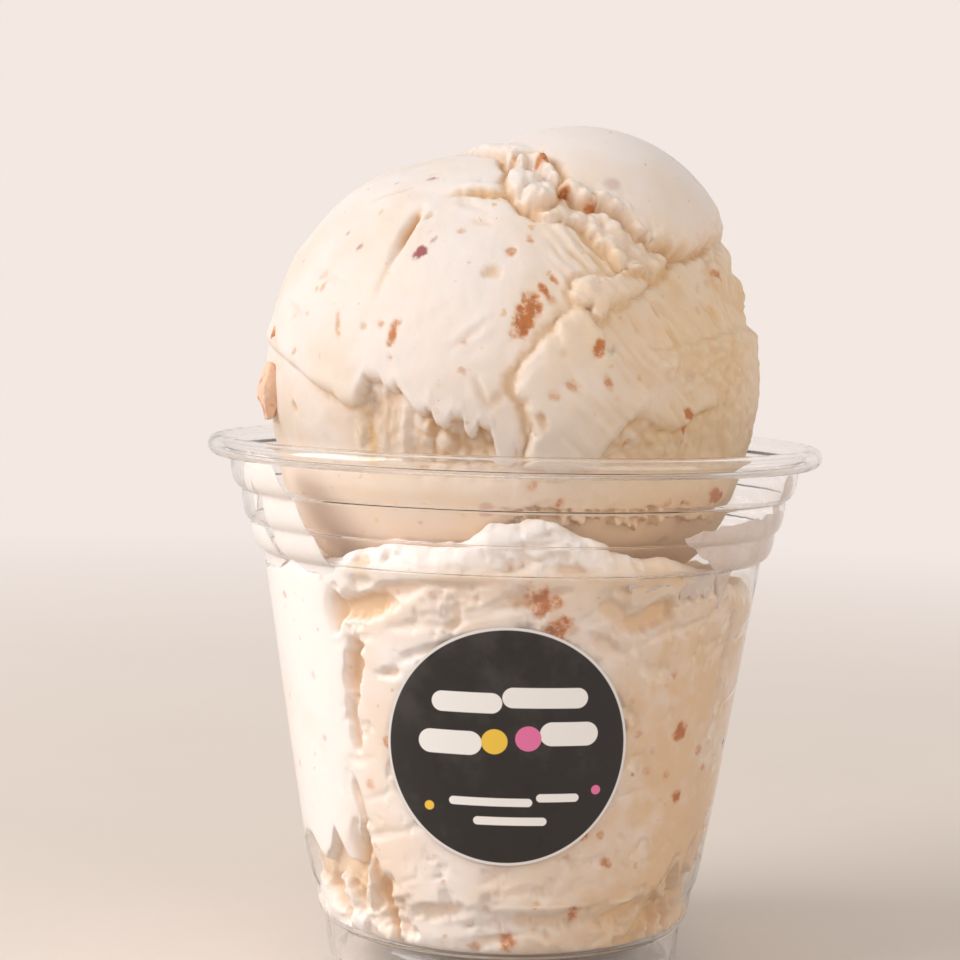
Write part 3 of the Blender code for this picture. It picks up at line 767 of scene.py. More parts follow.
def shallow_creases(relief):
    """Shallow drawn creases over the smooth left side, each with a faint raised border."""
    for start, end, depth in CREASES:
        away, along = relief.from_line(start, end)
        away = away + 0.5 * relief.rag + 0.25 * relief.fine
        ends = np.sin(pi * along) ** 0.5
        relief.lift(depth * ends * (0.5 * bell(away - 1.6, 1.2) - bell(away, 0.7)))
        # painted shade in each crease
        relief.tint(0.45 * depth * ends * bell(away, 0.7))


def stretch_marks(relief):
    """Strands drawn down to the right between the fold and the lobe, broad and soft."""
    spot = relief.spot
    along = spot[..., 0] * 0.69 - spot[..., 2] * 0.72
    across = spot[..., 0] * 0.72 + spot[..., 2] * 0.69
    strands = fractal(np.stack([along / 6.5, across, spot[..., 1] / 2.0], axis=-1), 1.5, 3, 41, 0.45)
    zone = window(relief.bearing, 4.0, 14.0, 98.0, 120.0) * window(relief.elevation, -26.0, -14.0, 38.0, 45.0)
    near_fold = zone * window(relief.bearing, 6.0, 12.0, 28.0, 38.0) * smooth(relief.elevation, 14.0, 26.0)
    relief.lift(strands * (0.34 * zone + 0.42 * near_fold))
    # painted shade in the grooves between the strands
    relief.tint(zone * 0.30 * smooth(-strands, 0.1, 0.6) + near_fold * 0.25 * smooth(-strands, 0.0, 0.5))


def curdled(relief):
    """Small soft curds at the right, thickest above the right lip."""
    first, second = nearest_cell(relief.spot, 2.1, 61)
    patch = window(relief.bearing, 26.0, 36.0, 60.0, 80.0) * window(relief.elevation, -12.0, -2.0, 9.0, 14.0)
    patch = patch * smooth(relief.soft_rag, -0.35, 0.25)
    relief.lift(patch * (0.7 * (1.0 - smooth(first + 0.15 * relief.fine, 0.1, 0.65)) - 0.1))
    # painted shade between the curds
    relief.tint(patch * 0.35 * (1.0 - smooth(second - first, 0.02, 0.25)))
    _, along = relief.from_line((31.3, 7.0), (61.4, 11.9))
    away = relief.elevation - (7.0 + 5.0 * along) + 0.8 * relief.rag
    on_line = window(relief.bearing, 29.0, 33.0, 58.0, 63.0)
    relief.lift(on_line * 0.5 * smooth(-away, -0.2, 0.5) * bell(np.minimum(away + 3.0, 0.0), 3.0))
    # painted shade along the raised strip's upper edge
    relief.tint(on_line * 0.4 * bell(away - 0.3, 0.5))


def side_layers(relief):
    """Ragged layers down the right edge: a fringe under the fold, a slab below it, upright ridges."""
    edge = inside(relief.way, FRINGE, FRINGE_MIDDLE, 1.8 * relief.rag)
    fringe = plump(edge, 3.0)
    first, second = nearest_cell(relief.spot, 4.2, 51)
    leaves = 1.0 - smooth(first, 0.15, 0.85)
    relief.lift(fringe * (0.1 + 1.15 * leaves))
    # painted shade under the fringe's edge and between its leaves
    relief.tint(0.5 * bell(edge + 0.7, 0.9) + 0.45 * fringe * (1.0 - smooth(second - first, 0.02, 0.25)))
    edge = inside(relief.way, SLAB, SLAB_MIDDLE, 1.0 * relief.rag)
    slab = plump(edge, 2.6)
    upright = np.stack([relief.bearing * 0.32, relief.elevation * 0.05, 0.0 * relief.bearing], axis=-1)
    ridges = noise(upright, 1.5, 53)
    relief.lift(slab * (0.35 + 0.4 * ridges * smooth(relief.bearing, 58.0, 66.0)))
    # painted shade round the slab's edge and between its ridges
    relief.tint(0.45 * bell(edge + 0.6, 0.9) + 0.3 * slab * smooth(-ridges, 0.1, 0.5))


def left_lip(relief):
    """The smooth mass ends in a plump lip that drips further right; the side under it is set back.

    Under the lip the side is smooth at the far left, then icy and drawn down in strings.
    """
    bearing = relief.bearing
    spread = window(bearing, -112.0, -104.0, -2.0, 3.0)
    drop = relief.below_line(LIP) + 0.7 * relief.soft_rag + 0.8 * relief.rag * smooth(bearing, -24.0, -17.0)
    for middle, length, width in DRIPS:
        aside = (bearing - middle + 0.5 * relief.soft_rag) / width
        drop = drop - length * np.sqrt(np.clip(1.0 - aside ** 2, 0.0, 1.0))
    over = 1.0 - (1.0 - plump(-drop, 3.0)) * spread
    depth = 1.35 * smooth(bearing, -88.0, -56.0) + 0.25 + 0.5 * smooth(bearing, -30.0, -14.0)
    string_place = np.stack([bearing * 0.68, relief.elevation * 0.26, 0.0 * bearing], axis=-1)
    strings = fractal(string_place + 1.3 * relief.soft_rag[..., None], 3.0, 3, 71, 0.5)
    icy = window(bearing, -41.0, -36.0, 2.0, 6.0) * (1.0 - over)
    first, second = nearest_cell(relief.spot * np.array([1.0, 1.0, 0.8]), 3.1, 73)
    curds = window(bearing, -27.0, -18.0, 2.0, 6.0) * (1.0 - over)
    relief.lift(over * 0.25 * bell(drop + 2.6, 2.4) * spread - depth * (1.0 - over))
    relief.lift(icy * (0.6 * strings + 0.16 * relief.fine - 0.1))
    curd = 1.0 - smooth(first + 0.22 * relief.rag + 0.12 * relief.fine, 0.05, 0.8)
    relief.lift(curds * (1.25 * curd - 0.35))
    # painted shade: under the lip, between the curds, in the grooves between the icy strings and in a streak
    # down the set-back side
    relief.tint((1.0 - over) * bell(drop, 1.4) * 0.5 * smooth(bearing, -60.0, -44.0))
    relief.tint(curds * (0.25 + 0.55 * (1.0 - smooth(second - first, 0.02, 0.3))))
    streak = bell(bearing + 34.6 + 0.12 * (relief.elevation + 8.0), 2.1) * (1.0 - over)
    relief.tint(icy * (0.18 + 0.35 * smooth(-strings, -0.1, 0.5)))
    lower = smooth(-relief.elevation, 8.0, 15.0)
    relief.tint(streak * (0.45 + 0.35 * smooth(relief.fine, -0.4, 0.5) + 0.3 * lower))
    relief.grain = np.maximum(relief.grain, icy * smooth(strings, -0.5, 0.2) + streak)


def right_lip(relief):
    """A second, smaller lip at the lower right, with curds under it."""
    spread = window(relief.bearing, 17.0, 21.0, 48.0, 60.0)
    drop = relief.below_line(RIGHT_LIP) + 0.4 * relief.soft_rag
    over = 1.0 - (1.0 - plump(-drop, 3.0)) * spread
    first, second = nearest_cell(relief.spot, 3.4, 63)
    curds = 1.0 - smooth(first + 0.2 * relief.rag, 0.1, 0.8)
    curds = curds * window(relief.bearing, 17.0, 21.0, 40.0, 46.0)
    relief.lift(over * 0.35 * bell(drop + 2.6, 2.6) * spread)
    relief.lift((1.0 - over) * (0.85 * curds - 1.15))
    # painted shade under the lip and between the curds
    relief.tint((1.0 - over) * (0.45 * bell(drop, 1.0) + 0.5 * (1.0 - smooth(second - first, 0.03, 0.3))))


def lobe_and_blob(relief):
    """The plump front lobe with its torn left edge, and the small blob above it with a drip."""
    edge = inside(relief.way, LOBE, LOBE_MIDDLE, 1.0 * relief.rag + 0.5 * relief.fine)
    lobe = plump(edge, 3.2) * (1.0 - 0.8 * smooth(relief.bearing, 18.0, 27.0))
    relief.bury(0.9 * smooth(edge, 0.0, 1.0) * (1.0 - smooth(relief.bearing, 18.0, 24.0)))
    relief.lift(1.45 * lobe)
    left_side = 1.0 - smooth(relief.bearing, 9.0, 15.0)
    relief.lift(-0.5 * left_side * bell(edge + 0.8, 1.0))
    # painted shade at the lobe's torn left edge
    relief.tint(left_side * 0.6 * bell(edge + 0.9, 1.3))

    edge = inside(relief.way, BLOB, BLOB_MIDDLE, 0.7 * relief.rag + 0.6 * relief.fine)
    blob = plump(edge, 2.0)
    relief.bury(0.9 * smooth(edge, 0.0, 0.8))
    relief.lift((1.35 + 0.3 * relief.rag) * blob - 0.35 * bell(edge + 0.6, 0.8))
    # painted shade round the blob's edge
    relief.tint(0.5 * bell(edge + 0.8, 0.9))


def ledge(relief):
    """A ledge that runs left from the fold's corner, with a crease under it that holds painted shade."""
    _, along = relief.from_line((-24.0, LEDGE_LEVEL), (-1.0, LEDGE_LEVEL))
    level = relief.elevation - LEDGE_LEVEL + 0.9 * relief.rag - 1.4 * np.sin(pi * along)
    near = window(relief.bearing, -26.0, -12.0, 0.5, 4.0)
    relief.lift(near * (0.9 * bell(level - 2.4, 2.0) - 1.1 * bell(level + 0.1, 0.8)))
    relief.tint(near * 0.95 * bell(level - 0.2, 0.9))
    relief.tint(0.3 * near * bell(level + 2.2, 1.4) * smooth(relief.fine, -0.2, 0.5))


def fold_and_shelf(relief):
    """The fold laid over the top right, a crumbly shelf under its edge and a knob at its left corner."""
    first, second = nearest_cell(relief.spot, 2.7, 81)
    crumbs = 1.0 - smooth(first, 0.2, 0.75)
    edge = inside(relief.way, SHELF, SHELF_MIDDLE, 0.9 * relief.rag + 0.5 * relief.fine)
    shelf = plump(edge, 2.2)
    relief.bury(0.9 * smooth(edge, 0.0, 0.8))
    relief.lift(-0.6 * bell(edge + 0.8, 1.1) + shelf * (0.75 + 0.95 * crumbs + 0.25 * relief.rag))
    between = 1.0 - smooth(second - first, 0.0, 0.3)
    # painted shade under the shelf's edge and between its crumbs
    relief.tint(0.75 * bell(edge + 0.8, 1.2) + 0.30 * smooth(edge, 0.0, 1.0) * between)

    offset_to_cap = CAP_CENTRE - BALL_CENTRE
    wander = (0.9 * relief.rag + 0.8 * relief.fine) * (1.0 - 0.8 * smooth(relief.elevation, 56.0, 62.0))
    edge = inside(relief.way, FOLD, FOLD_MIDDLE, wander)
    in_front = smooth(-relief.way[..., 1], 0.1, 0.5)
    along = relief.way @ offset_to_cap
    own = along + np.sqrt(np.maximum(CAP_RADIUS ** 2 - offset_to_cap @ offset_to_cap + along ** 2, 0.0))
    rim_lumps = 0.5 * relief.rag * bell(edge - 1.5, 2.5) + 0.12 * relief.lumps
    laid = np.maximum(relief.reach + 1.7 * in_front, own) + rim_lumps * in_front
    relief.lift(-1.2 * in_front * bell(edge + 0.9, 1.0))
    relief.bury(0.95 * smooth(edge, 0.0, 0.8))
    droop = 2.8 + 5.0 * smooth(relief.bearing, 55.0, 80.0)
    relief.lift((laid - relief.reach) * plump(edge, droop))
    # painted shade under the fold's edge, and in patches just inside it
    relief.tint(0.85 * bell(edge + 0.9, 1.0) * in_front)
    relief.tint(0.22 * in_front * bell(edge - 0.8, 1.0) * smooth(-relief.rag, -0.2, 0.4))

    edge = inside(relief.way, KNOB, KNOB_MIDDLE, 0.8 * relief.rag)
    knob = plump(edge, 3.6)
    relief.bury(0.9 * smooth(edge, 0.0, 1.0))
    relief.lift(-0.7 * bell(edge + 0.8, 0.9) + knob * (1.5 + 0.45 * relief.rag))
    # painted shade round the knob's foot
    relief.tint(0.75 * bell(edge + 0.8, 1.0))


def underside(relief):
    """The smooth underside, squatter than a sphere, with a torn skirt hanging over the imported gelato."""
    way = relief.way
    seat = smooth(-relief.elevation, 15.0, 25.0)
    level = np.hypot(way[..., 0], way[..., 1])
    shape = (level / SEAT_RADIUS) ** SEAT_POWER + (np.abs(way[..., 2]) / SEAT_DEPTH) ** SEAT_POWER
    form = shape ** (-1.0 / SEAT_POWER) - LEAN * way[..., 0] - 0.25 + 0.2 * np.clip(relief.lumps, -1.0, 1.0)
    skirt_edge = relief.elevation + 30.0 + 3.2 * relief.rag + 1.5 * relief.fine
    skirt = window(relief.bearing, -4.0, 6.0, 58.0, 75.0)
    form = form - 1.6 * skirt * (1.0 - plump(skirt_edge, 2.0))
    form = form + 0.25 * skirt * relief.rag * smooth(skirt_edge, 0.0, 2.0)
    relief.bury(seat)
    # painted shade underneath, deepest along the skirt's edge
    relief.tint(seat * (0.16 + 0.5 * skirt * bell(skirt_edge, 1.4)))
    relief.lift((form - relief.reach) * seat)


def ball_surface(bearing, elevation):
    """The ball's points, its painted shade and its other marks at bearings and elevations: one height over a
    sphere.
    """
    relief = Relief(bearing, elevation)
    # each layer also paints shade, through tint, into its creases, pockets, grooves and the gaps under its
    # edges
    for layer in (round_body, shoulder_dent, shallow_creases, stretch_marks, curdled, side_layers, left_lip,
                  right_lip, lobe_and_blob, ledge, fold_and_shelf):
        layer(relief)
    toffee = relief.spots(TOFFEE_BITS, 0.30)
    berry = relief.spots(BERRY_BITS, 0.35)
    pits = relief.spots(PITS, 0.30)
    relief.lift(-0.55 * pits + 0.30 * toffee * (relief.fine - 0.4))
    # painted shade on the pits' floors
    relief.tint(0.75 * pits)
    underside(relief)
    # painted shade: warmer to the right, away from the key lamp, and underneath; paler on top, where the
    # light falls
    side = smooth(relief.way[..., 0], -0.25, 0.85)
    up = smooth(relief.way[..., 2], 0.35, 0.85)
    warmth = 0.02 + 0.74 * side * (1.0 - up) + 0.30 * smooth(-relief.way[..., 2], 0.0, 0.5) - 0.15 * up
    marks = {"hollow": np.clip(relief.hollow, 0.0, 1.0), "grain": np.clip(relief.grain, 0.0, 1.0),
             "toffee": toffee, "berry": berry, "warmth": warmth}
    return BALL_CENTRE + relief.way * relief.reach[..., None], marks


def ball_grid():
    """Bearings and elevations of the ball's points: closest where the front and shoulders show."""
    columns = bearings(92.0, 424, 76)
    low = np.linspace(-86.0, FINE_LOW, 12, endpoint=False)
    middle = np.linspace(FINE_LOW, FINE_TOP, 166, endpoint=False)
    high = np.linspace(FINE_TOP, 88.5, 18)
    rows = np.concatenate([low, middle, high])[::-1]
    return np.meshgrid(wrapped(columns), rows)


class GELATO_OT_ball(Operator):
    """Make the big ball of gelato"""
    bl_idname = "gelato.ball"
    bl_label = "Ball"

    def execute(self, context):
        bearing, elevation = ball_grid()
        rows, marks = ball_surface(bearing, elevation)
        ends, end_marks = ball_surface(np.zeros(2), np.array([90.0, -90.0]))
        points, faces = skin(rows, ends[0], ends[1])
        fields = {key: np.concatenate([end_marks[key][:1], values.ravel(), end_marks[key][1:]])
                  for key, values in marks.items()}
        material = gelato_material(context.scene.gelato_colours, "gelato")
        ball = put_mesh("gelato_ball", points, faces, material, fields)
        finish(ball, "gelato", "gelato_scoop")
        return {"FINISHED"}


# ---------------------------------------------------------------- packed gelato

FILL_RIDGE = (
    (-180, 68), (-140, 69), (-105, 66), (-80, 65), (-60, 66), (-44, 66.5), (-38, 68.5), (-30, 69.5),
    (-20, 70), (-10, 70.8), (-5, 73.2), (3, 74.4), (12, 73), (18, 71.5), (23, 69.4), (30, 68.8), (38, 68),
    (44, 67.4), (52, 65), (70, 62.5), (95, 61.5), (125, 62), (155, 66), (180, 68))
CONTACT = 0.2                   # how far pressed gelato reaches into the sheet
PACKED_PAINTED_LIGHT = 0.3               # painted light: how much nearer white its palest colour is than the ball's, for the light the sheet takes away
MEAN_WALL = 36.0                # a middling radius of the wall, for lengths round it
CROWN_LEVEL = 76.0              # above the highest ridge
BASE_LEVEL = 5.9
WALL_TOP = RINGS[-1][1]
HEEL_LEVEL = 8.2
# Pockets against the wall: bearing, height, half length, half width (mm), tilt, depth
POCKETS = (
    (-43.0, 59.5, 4.2, 2.2, 84, 2.6), (-34.5, 60.5, 7.0, 2.4, 12, 2.4), (-38.5, 50.5, 6.0, 2.0, 80, 2.4),
    (-40.0, 42.0, 5.0, 1.1, 100, 1.6), (-40.6, 30.0, 4.6, 0.9, 106, 1.3), (-26.0, 63.2, 6.0, 1.3, 10, 1.4),
    (-12.0, 65.0, 9.0, 1.1, 6, 1.1), (-17.0, 54.8, 7.0, 0.9, 22, 0.8), (-12.6, 58.6, 1.8, 0.8, 30, 1.3),
    (-14.4, 55.6, 1.5, 0.7, 20, 1.2), (-19.5, 51.6, 1.9, 1.1, 120, 1.4), (-29.0, 50.6, 2.6, 0.9, 12, 1.2),
    (14.0, 66.6, 5.0, 1.3, -14, 1.3), (24.5, 60.0, 5.0, 2.2, -40, 1.4), (22.0, 55.6, 4.0, 1.3, -30, 1.1),
    (33.0, 60.0, 6.0, 2.2, 10, 2.0), (-44.0, 22.0, 5.0, 1.6, 80, 2.0), (-36.0, 15.5, 4.0, 2.0, 60, 1.6),
    (38.0, 14.0, 6.0, 1.6, 20, 1.8), (52.0, 17.0, 5.0, 1.3, 60, 1.5), (62.0, 19.0, 4.5, 1.1, 70, 1.4),
    (63.0, 52.0, 9.0, 1.6, 86, 2.4), (72.0, 20.0, 5.0, 1.2, 80, 1.6), (-58.0, 14.5, 6.0, 1.8, 10, 1.8),
    (10.0, 13.0, 8.0, 1.4, -4, 1.3), (-18.0, 14.0, 6.0, 1.4, 8, 1.2))
# Lower edge of the part pressed flat, where it ends above the heel: bearing, height (mm)
TEETH = (
    (-104, 6.0), (-92, 17.0), (-84, 19.5), (-68, 22.0), (-63, 20.0), (-58, 18.6), (-55, 21.0), (-52, 25.0),
    (-49, 22.4), (-46, 20.6), (-43, 20.4), (-41.2, 24.0), (-39.8, 28.0), (-38, 24.0), (-33, 17.0),
    (-30, 6.0), (34, 6.0), (40, 10.5), (45, 13.5), (49, 18.0), (52, 14.5), (56, 20.0), (59, 15.5),
    (62, 20.5), (66, 17.5), (70, 21.5), (76, 18.0), (90, 18.0), (104, 6.0))
# Toffee seen through the wall: bearing, height, size (mm), strength
FILL_TOFFEE = (
    (6.5, 62.8, 2.6, 0.8), (9.6, 62.6, 1.6, 0.6), (10.0, 58.6, 2.2, 0.8), (7.4, 57.2, 1.6, 0.5),
    (-27.0, 41.6, 1.7, 0.5), (-30.0, 39.6, 1.3, 0.5), (-28.0, 36.8, 1.9, 0.6), (-25.4, 47.0, 1.3, 0.35),
    (-24.2, 45.4, 1.5, 0.3), (47.0, 41.5, 1.7, 0.9), (46.4, 42.4, 1.0, 0.9), (49.0, 31.0, 1.4, 0.9),
    (44.0, 35.0, 1.0, 0.5), (37.0, 36.0, 1.0, 0.4), (21.0, 27.0, 1.3, 0.7), (25.0, 26.6, 1.0, 0.6),
    (28.0, 22.0, 1.2, 0.6), (20.0, 14.0, 1.5, 0.7), (2.0, 9.6, 1.8, 0.7), (-8.0, 8.8, 1.3, 0.5),
    (33.0, 42.0, 0.9, 0.4), (-36.0, 33.0, 1.2, 0.4), (56.0, 38.0, 1.0, 0.5), (30.0, 47.0, 0.9, 0.4),
    (140.0, 40.0, 2.2, 0.8), (-150.0, 52.0, 2.0, 0.8), (170.0, 24.0, 1.6, 0.7), (105.0, 33.0, 1.8, 0.7),
    (-110.0, 30.0, 1.8, 0.6), (-170.0, 36.0, 1.2, 0.6))


def filling_levels():
    """Heights of the side's rows from above the highest ridge down to the heel, with one at each corner."""
    corners = [CROWN_LEVEL, WALL_TOP] + [height for _, height in LOWER_SIDE[:3]] + [HEEL_LEVEL]
    levels = []
    for high, low in zip(corners[:-1], corners[1:]):
        levels.append(np.linspace(high, low, max(2, round((high - low) / 0.42)), endpoint=False))
    return np.concatenate(levels + [np.array([HEEL_LEVEL])])


def set_back(bearing, height, wall):
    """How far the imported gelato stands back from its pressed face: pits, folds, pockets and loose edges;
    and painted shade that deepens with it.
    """
    spot = on_bearing(bearing, wall, height)
    rag = fractal(spot, 3.0, 3, 101, 0.6)
    around = np.radians(bearing) * MEAN_WALL
    slant = np.stack([(around + 0.35 * height) / 4.0, height - 0.30 * around, 0.0 * height], axis=-1)
    folds = fractal(slant, 3.0, 3, 111, 0.5)
    lumps = fractal(spot, 5.0, 4, 121, 0.6)
    upper = smooth(height, 50.0, 62.0)
    lower = 1.0 - smooth(height, 15.0, 24.0)
    loose = np.maximum(upper, lower)
    back = (0.35 + 0.9 * loose) * smooth(folds, 0.25 - 0.25 * loose, 1.0)
    back = back + (0.5 + 0.5 * loose) * smooth(lumps, 0.30 - 0.15 * loose, 0.9)
    for middle, level, length, width, tilt, depth in POCKETS:
        across = np.radians(wrapped(bearing - middle)) * wall
        up = height - level
        turn = radians(tilt)
        along = (across * cos(turn) + up * sin(turn)) / length
        aside = (up * cos(turn) - across * sin(turn)) / width
        back = np.maximum(back, depth * (1.0 - smooth(np.hypot(along, aside) + 0.35 * rag, 0.45, 1.1)))
    # smooth and pressed flat at the left; low down the pressed face ends in teeth, set back under them
    angle = wrapped(bearing)
    flat = window(angle, -172.0, -108.0, -46.0, -41.5) * smooth(height, 15.0, 19.0)
    back = back * (1.0 - 0.92 * flat)
    under_teeth = np.interp(angle, *zip(*TEETH)) + 0.7 * rag - height
    back = back + window(under_teeth, 0.0, 1.1, 6.0, 9.0) * 1.9
    # painted shade, deeper where the gelato stands further back from the wall
    tint = smooth(back, 0.3, 2.4)
    # sealed at the wall's top; above it the ring bulges out and the gelato doesn't follow it
    back = back * (1.0 - window(height, WALL_TOP - 1.8, WALL_TOP - 0.7, WALL_TOP + 0.2, WALL_TOP + 1.0))
    back = back + 0.5 * smooth(height, WALL_TOP + 0.2, WALL_TOP + 1.0) * (0.8 + 0.6 * rag)
    return back + 0.5 * (1.0 - smooth(height, HEEL_LEVEL, 11.0)) * (0.6 + 0.8 * rag), tint


def dish_height(out):
    """Height of the ball's underside, a little below it, at a distance from its axis."""
    part = np.clip(1.0 - (out / (SEAT_RADIUS + 0.3)) ** SEAT_POWER, 0.0, 1.0)
    return BALL_CENTRE[2] - (SEAT_DEPTH + 0.1) * part ** (1.0 / SEAT_POWER)


def filling_surface(columns):
    """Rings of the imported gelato: its dished top, its ridge, its side against the wall, and its base."""
    bearing = columns[None, :]
    ridge = np.interp(columns, [b for b, _ in FILL_RIDGE], [h for _, h in FILL_RIDGE], period=360.0)
    ridge = ridge + 0.8 * fractal(on_bearing(columns, 38.0, 60.0), 5.0, 3, 131)
    levels = filling_levels()[:, None]
    step = 0.02 * np.arange(len(levels))[:, None]
    height = np.minimum(levels, ridge[None, :] - step)
    height[0] = ridge
    wall = cup_outer(np.minimum(height, WALL_TOP)) - SHEET
    back, tint = set_back(bearing, height, wall)
    below_crest = ridge[None, :] - height
    radius = wall + CONTACT - back - 2.6 * (1.0 - plump(below_crest + 0.05, 3.2))
    side = on_bearing(bearing, radius, height)

    inward = np.linspace(0.05, 1.0, 30, endpoint=False)[:, None]
    top_radius = radius[0][None, :] * inward
    lump = on_bearing(bearing, top_radius, 60.0)
    level = ridge[None, :] + 0.4 - 0.35 * (radius[0][None, :] - top_radius) + 0.8 * fractal(lump, 4.0, 3, 141)
    level = level - 0.4 * smooth(inward, 0.9, 1.0)
    out = np.linalg.norm((on_bearing(bearing, top_radius, 0.0) - BALL_CENTRE)[..., :2], axis=-1)
    level = np.where(out < SEAT_RADIUS + 0.3, np.minimum(level, dish_height(out)), level)
    top = on_bearing(bearing, top_radius, level)

    base_radius = np.array([27.6, 26.0, 24.0, 16.0, 6.0])[:, None] + 0.0 * bearing
    base_level = np.array([7.3, 6.6, 6.05, BASE_LEVEL, BASE_LEVEL])[:, None] + 0.0 * bearing
    rows = np.concatenate([top, side, on_bearing(bearing, base_radius, base_level)])
    # painted shade: on the dished top under the ball, in the pockets as deep as they stand back, and on the
    # base
    hollow = np.concatenate([0.35 + 0.0 * top_radius, 0.8 * tint, 0.3 + 0.0 * base_radius])
    return rows, hollow


def filling_marks(rows, hollow):
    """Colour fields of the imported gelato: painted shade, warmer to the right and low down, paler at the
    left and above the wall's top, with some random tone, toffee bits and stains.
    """
    bearing = np.degrees(np.arctan2(rows[..., 0], -rows[..., 1]))
    height = rows[..., 2]
    ragged = fractal(rows, 2.4, 3, 151, 0.6)
    toffee = np.zeros(bearing.shape)
    for middle, level, size, strength in FILL_TOFFEE:
        away = np.hypot(np.radians(wrapped(bearing - middle)) * MEAN_WALL, height - level) / size
        toffee = np.maximum(toffee, strength * (1.0 - smooth(away + 0.45 * ragged, 0.3, 1.3)))
    side = smooth(np.sin(np.radians(bearing)), -0.20, 0.85)
    low = 1.0 - smooth(height, 12.0, 40.0)
    # painted shade, with some random tone in it
    warmth = 0.72 * side + 0.10 * low + 0.25 * ragged * (0.15 + side) - 0.35 * smooth(-bearing, 30.0, 50.0)
    warmth = warmth - 0.4 * smooth(height, WALL_TOP, WALL_TOP + 3.0)
    none = np.zeros(bearing.shape)
    return {"hollow": hollow, "warmth": warmth, "toffee": toffee, "grain": none, "berry": none}


def with_ends(values):
    """A grid's values with its first and last repeated for the points that close it."""
    flat = values.ravel()
    return np.concatenate([flat[:1], flat, flat[-1:]])


class GELATO_OT_filling(Operator):
    """Make the gelato packed into the cup"""
    bl_idname = "gelato.filling"
    bl_label = "Filling"

    def execute(self, context):
        columns = wrapped(bearings(98.0, 400, 70))
        rows, hollow = filling_surface(columns)
        start = np.array([0.0, 0.0, rows[0, :, 2].mean()])
        end = np.array([0.0, 0.0, BASE_LEVEL])
        points, faces = skin(rows, start, end)
        marks = {key: with_ends(values) for key, values in filling_marks(rows, hollow).items()}
        # a lighter copy of the gelato material, painted light for the light the sheet takes away
        material = gelato_material(context.scene.gelato_colours, "gelato_packed", PACKED_PAINTED_LIGHT)
        filling = put_mesh("packed_gelato", points, faces, material, marks)
        finish(filling, "gelato_packed", "gelato_filling")
        return {"FINISHED"}


# ---------------------------------------------------------------- films and drips on the wall

# Each film: stops of bearing, top and bottom (mm) on the inner wall, raggedness and thickness (mm)
FILMS = {
    "left_column": (
        ((-67.5, 76.5, 75.5), (-66, 79, 72.6), (-64, 82, 75.5), (-62.5, 82.3, 78),
         (-61, 81.5, 80)), 0.35, 0.5),
    "left_sweep": (
        ((-62.5, 80, 75), (-60, 82, 68), (-57, 82, 66.2), (-54, 81.5, 65), (-50, 77, 64.5), (-46, 71.5, 64),
         (-42, 66.5, 63.6), (-40.8, 65, 63.8)), 0.35, 0.6),
    "left_hem": (
        ((-96, 67.5, 64), (-90, 68.5, 64), (-82, 69.5, 64), (-75, 70.5, 64), (-69, 70.8, 64), (-64, 69.5, 64),
         (-60, 67.5, 65)), 0.4, 0.5),
    "right_ring": (
        ((36, 72.2, 71.2), (42, 73.0, 69.0), (49, 73.4, 66.4), (56, 73.8, 66.2), (64, 74.2, 66.2),
         (72, 74.5, 66.2), (80, 74.0, 66.2), (88, 73.0, 66.6)), 0.45, 0.4),
    "right_torn": (
        ((25.5, 66.2, 64.5), (27, 66.2, 62.4), (30, 66.2, 61.9), (34, 66.2, 63.4), (38, 66.2, 65.2),
         (39.3, 66.2, 65.6), (40, 66.2, 62.2), (42.5, 66.2, 63.0), (44, 66.2, 62.0), (47, 66.2, 62.8),
         (49, 66.2, 62.0), (50.5, 66.2, 64.2), (51.2, 66.2, 65.6)), 0.3, 0.5),
    "right_drip": (
        ((51, 66.2, 65.4), (52.4, 66.2, 63.0), (53.8, 66.2, 60.2), (55.2, 66.2, 61.6),
         (57, 66.2, 65.2)), 0.2, 0.6),
    "right_column": (
        ((66.5, 79.5, 77.0), (68.5, 80, 72.5), (70.5, 80, 73.0), (73, 79.5, 76.5)), 0.3, 0.4),
}
FILM_BACK = 0.10                # how far a film's back, and its rim, reach into the sheet
FILM_RIM = 0.08


def film_skin(number, spec, columns=72, rows=36):
    """A thin film on the inner wall between two ragged edges, rounded off at its rim."""
    edges, ragged, thickness = spec
    stops, tops, bottoms = zip(*edges)
    bearing = np.linspace(stops[0], stops[-1], columns)
    edge_spot = on_bearing(bearing, 40.0, 0.0)
    top = np.interp(bearing, stops, tops) + ragged * fractal(edge_spot, 2.4, 3, 200 + number)
    bottom = np.interp(bearing, stops, bottoms) + 1.3 * ragged * fractal(edge_spot, 1.8, 3, 230 + number)
    across = 2.0 * (bearing - stops[0]) / (stops[-1] - stops[0]) - 1.0
    taper = np.sqrt(np.clip(1.0 - np.abs(across) ** 8, 0.0, 1.0))
    middle = 0.5 * (top + bottom)
    half = np.maximum(0.5 * (top - bottom), 0.15) * taper
    turn = np.linspace(0.0, pi, rows)[:, None]
    height = middle[None, :] + half[None, :] * np.cos(turn)
    swell = np.clip(np.sin(turn), 0.0, 1.0) ** 0.35 * taper[None, :]
    wall = cup_outer(height) - SHEET
    bumps = fractal(on_bearing(bearing[None, :], wall, height), 3.5, 2, 260 + number)
    uneven = 0.75 + 0.4 * np.clip(bumps, -1.0, 1.0)
    outer = on_bearing(bearing[None, :], wall + FILM_BACK, height)
    inner = on_bearing(bearing[None, :], wall + FILM_RIM - thickness * swell * uneven, height)
    rings = np.swapaxes(np.concatenate([outer, inner[::-1][1:-1]]), 0, 1)
    return skin(rings[1:-1], rings[0].mean(axis=0), rings[-1].mean(axis=0))


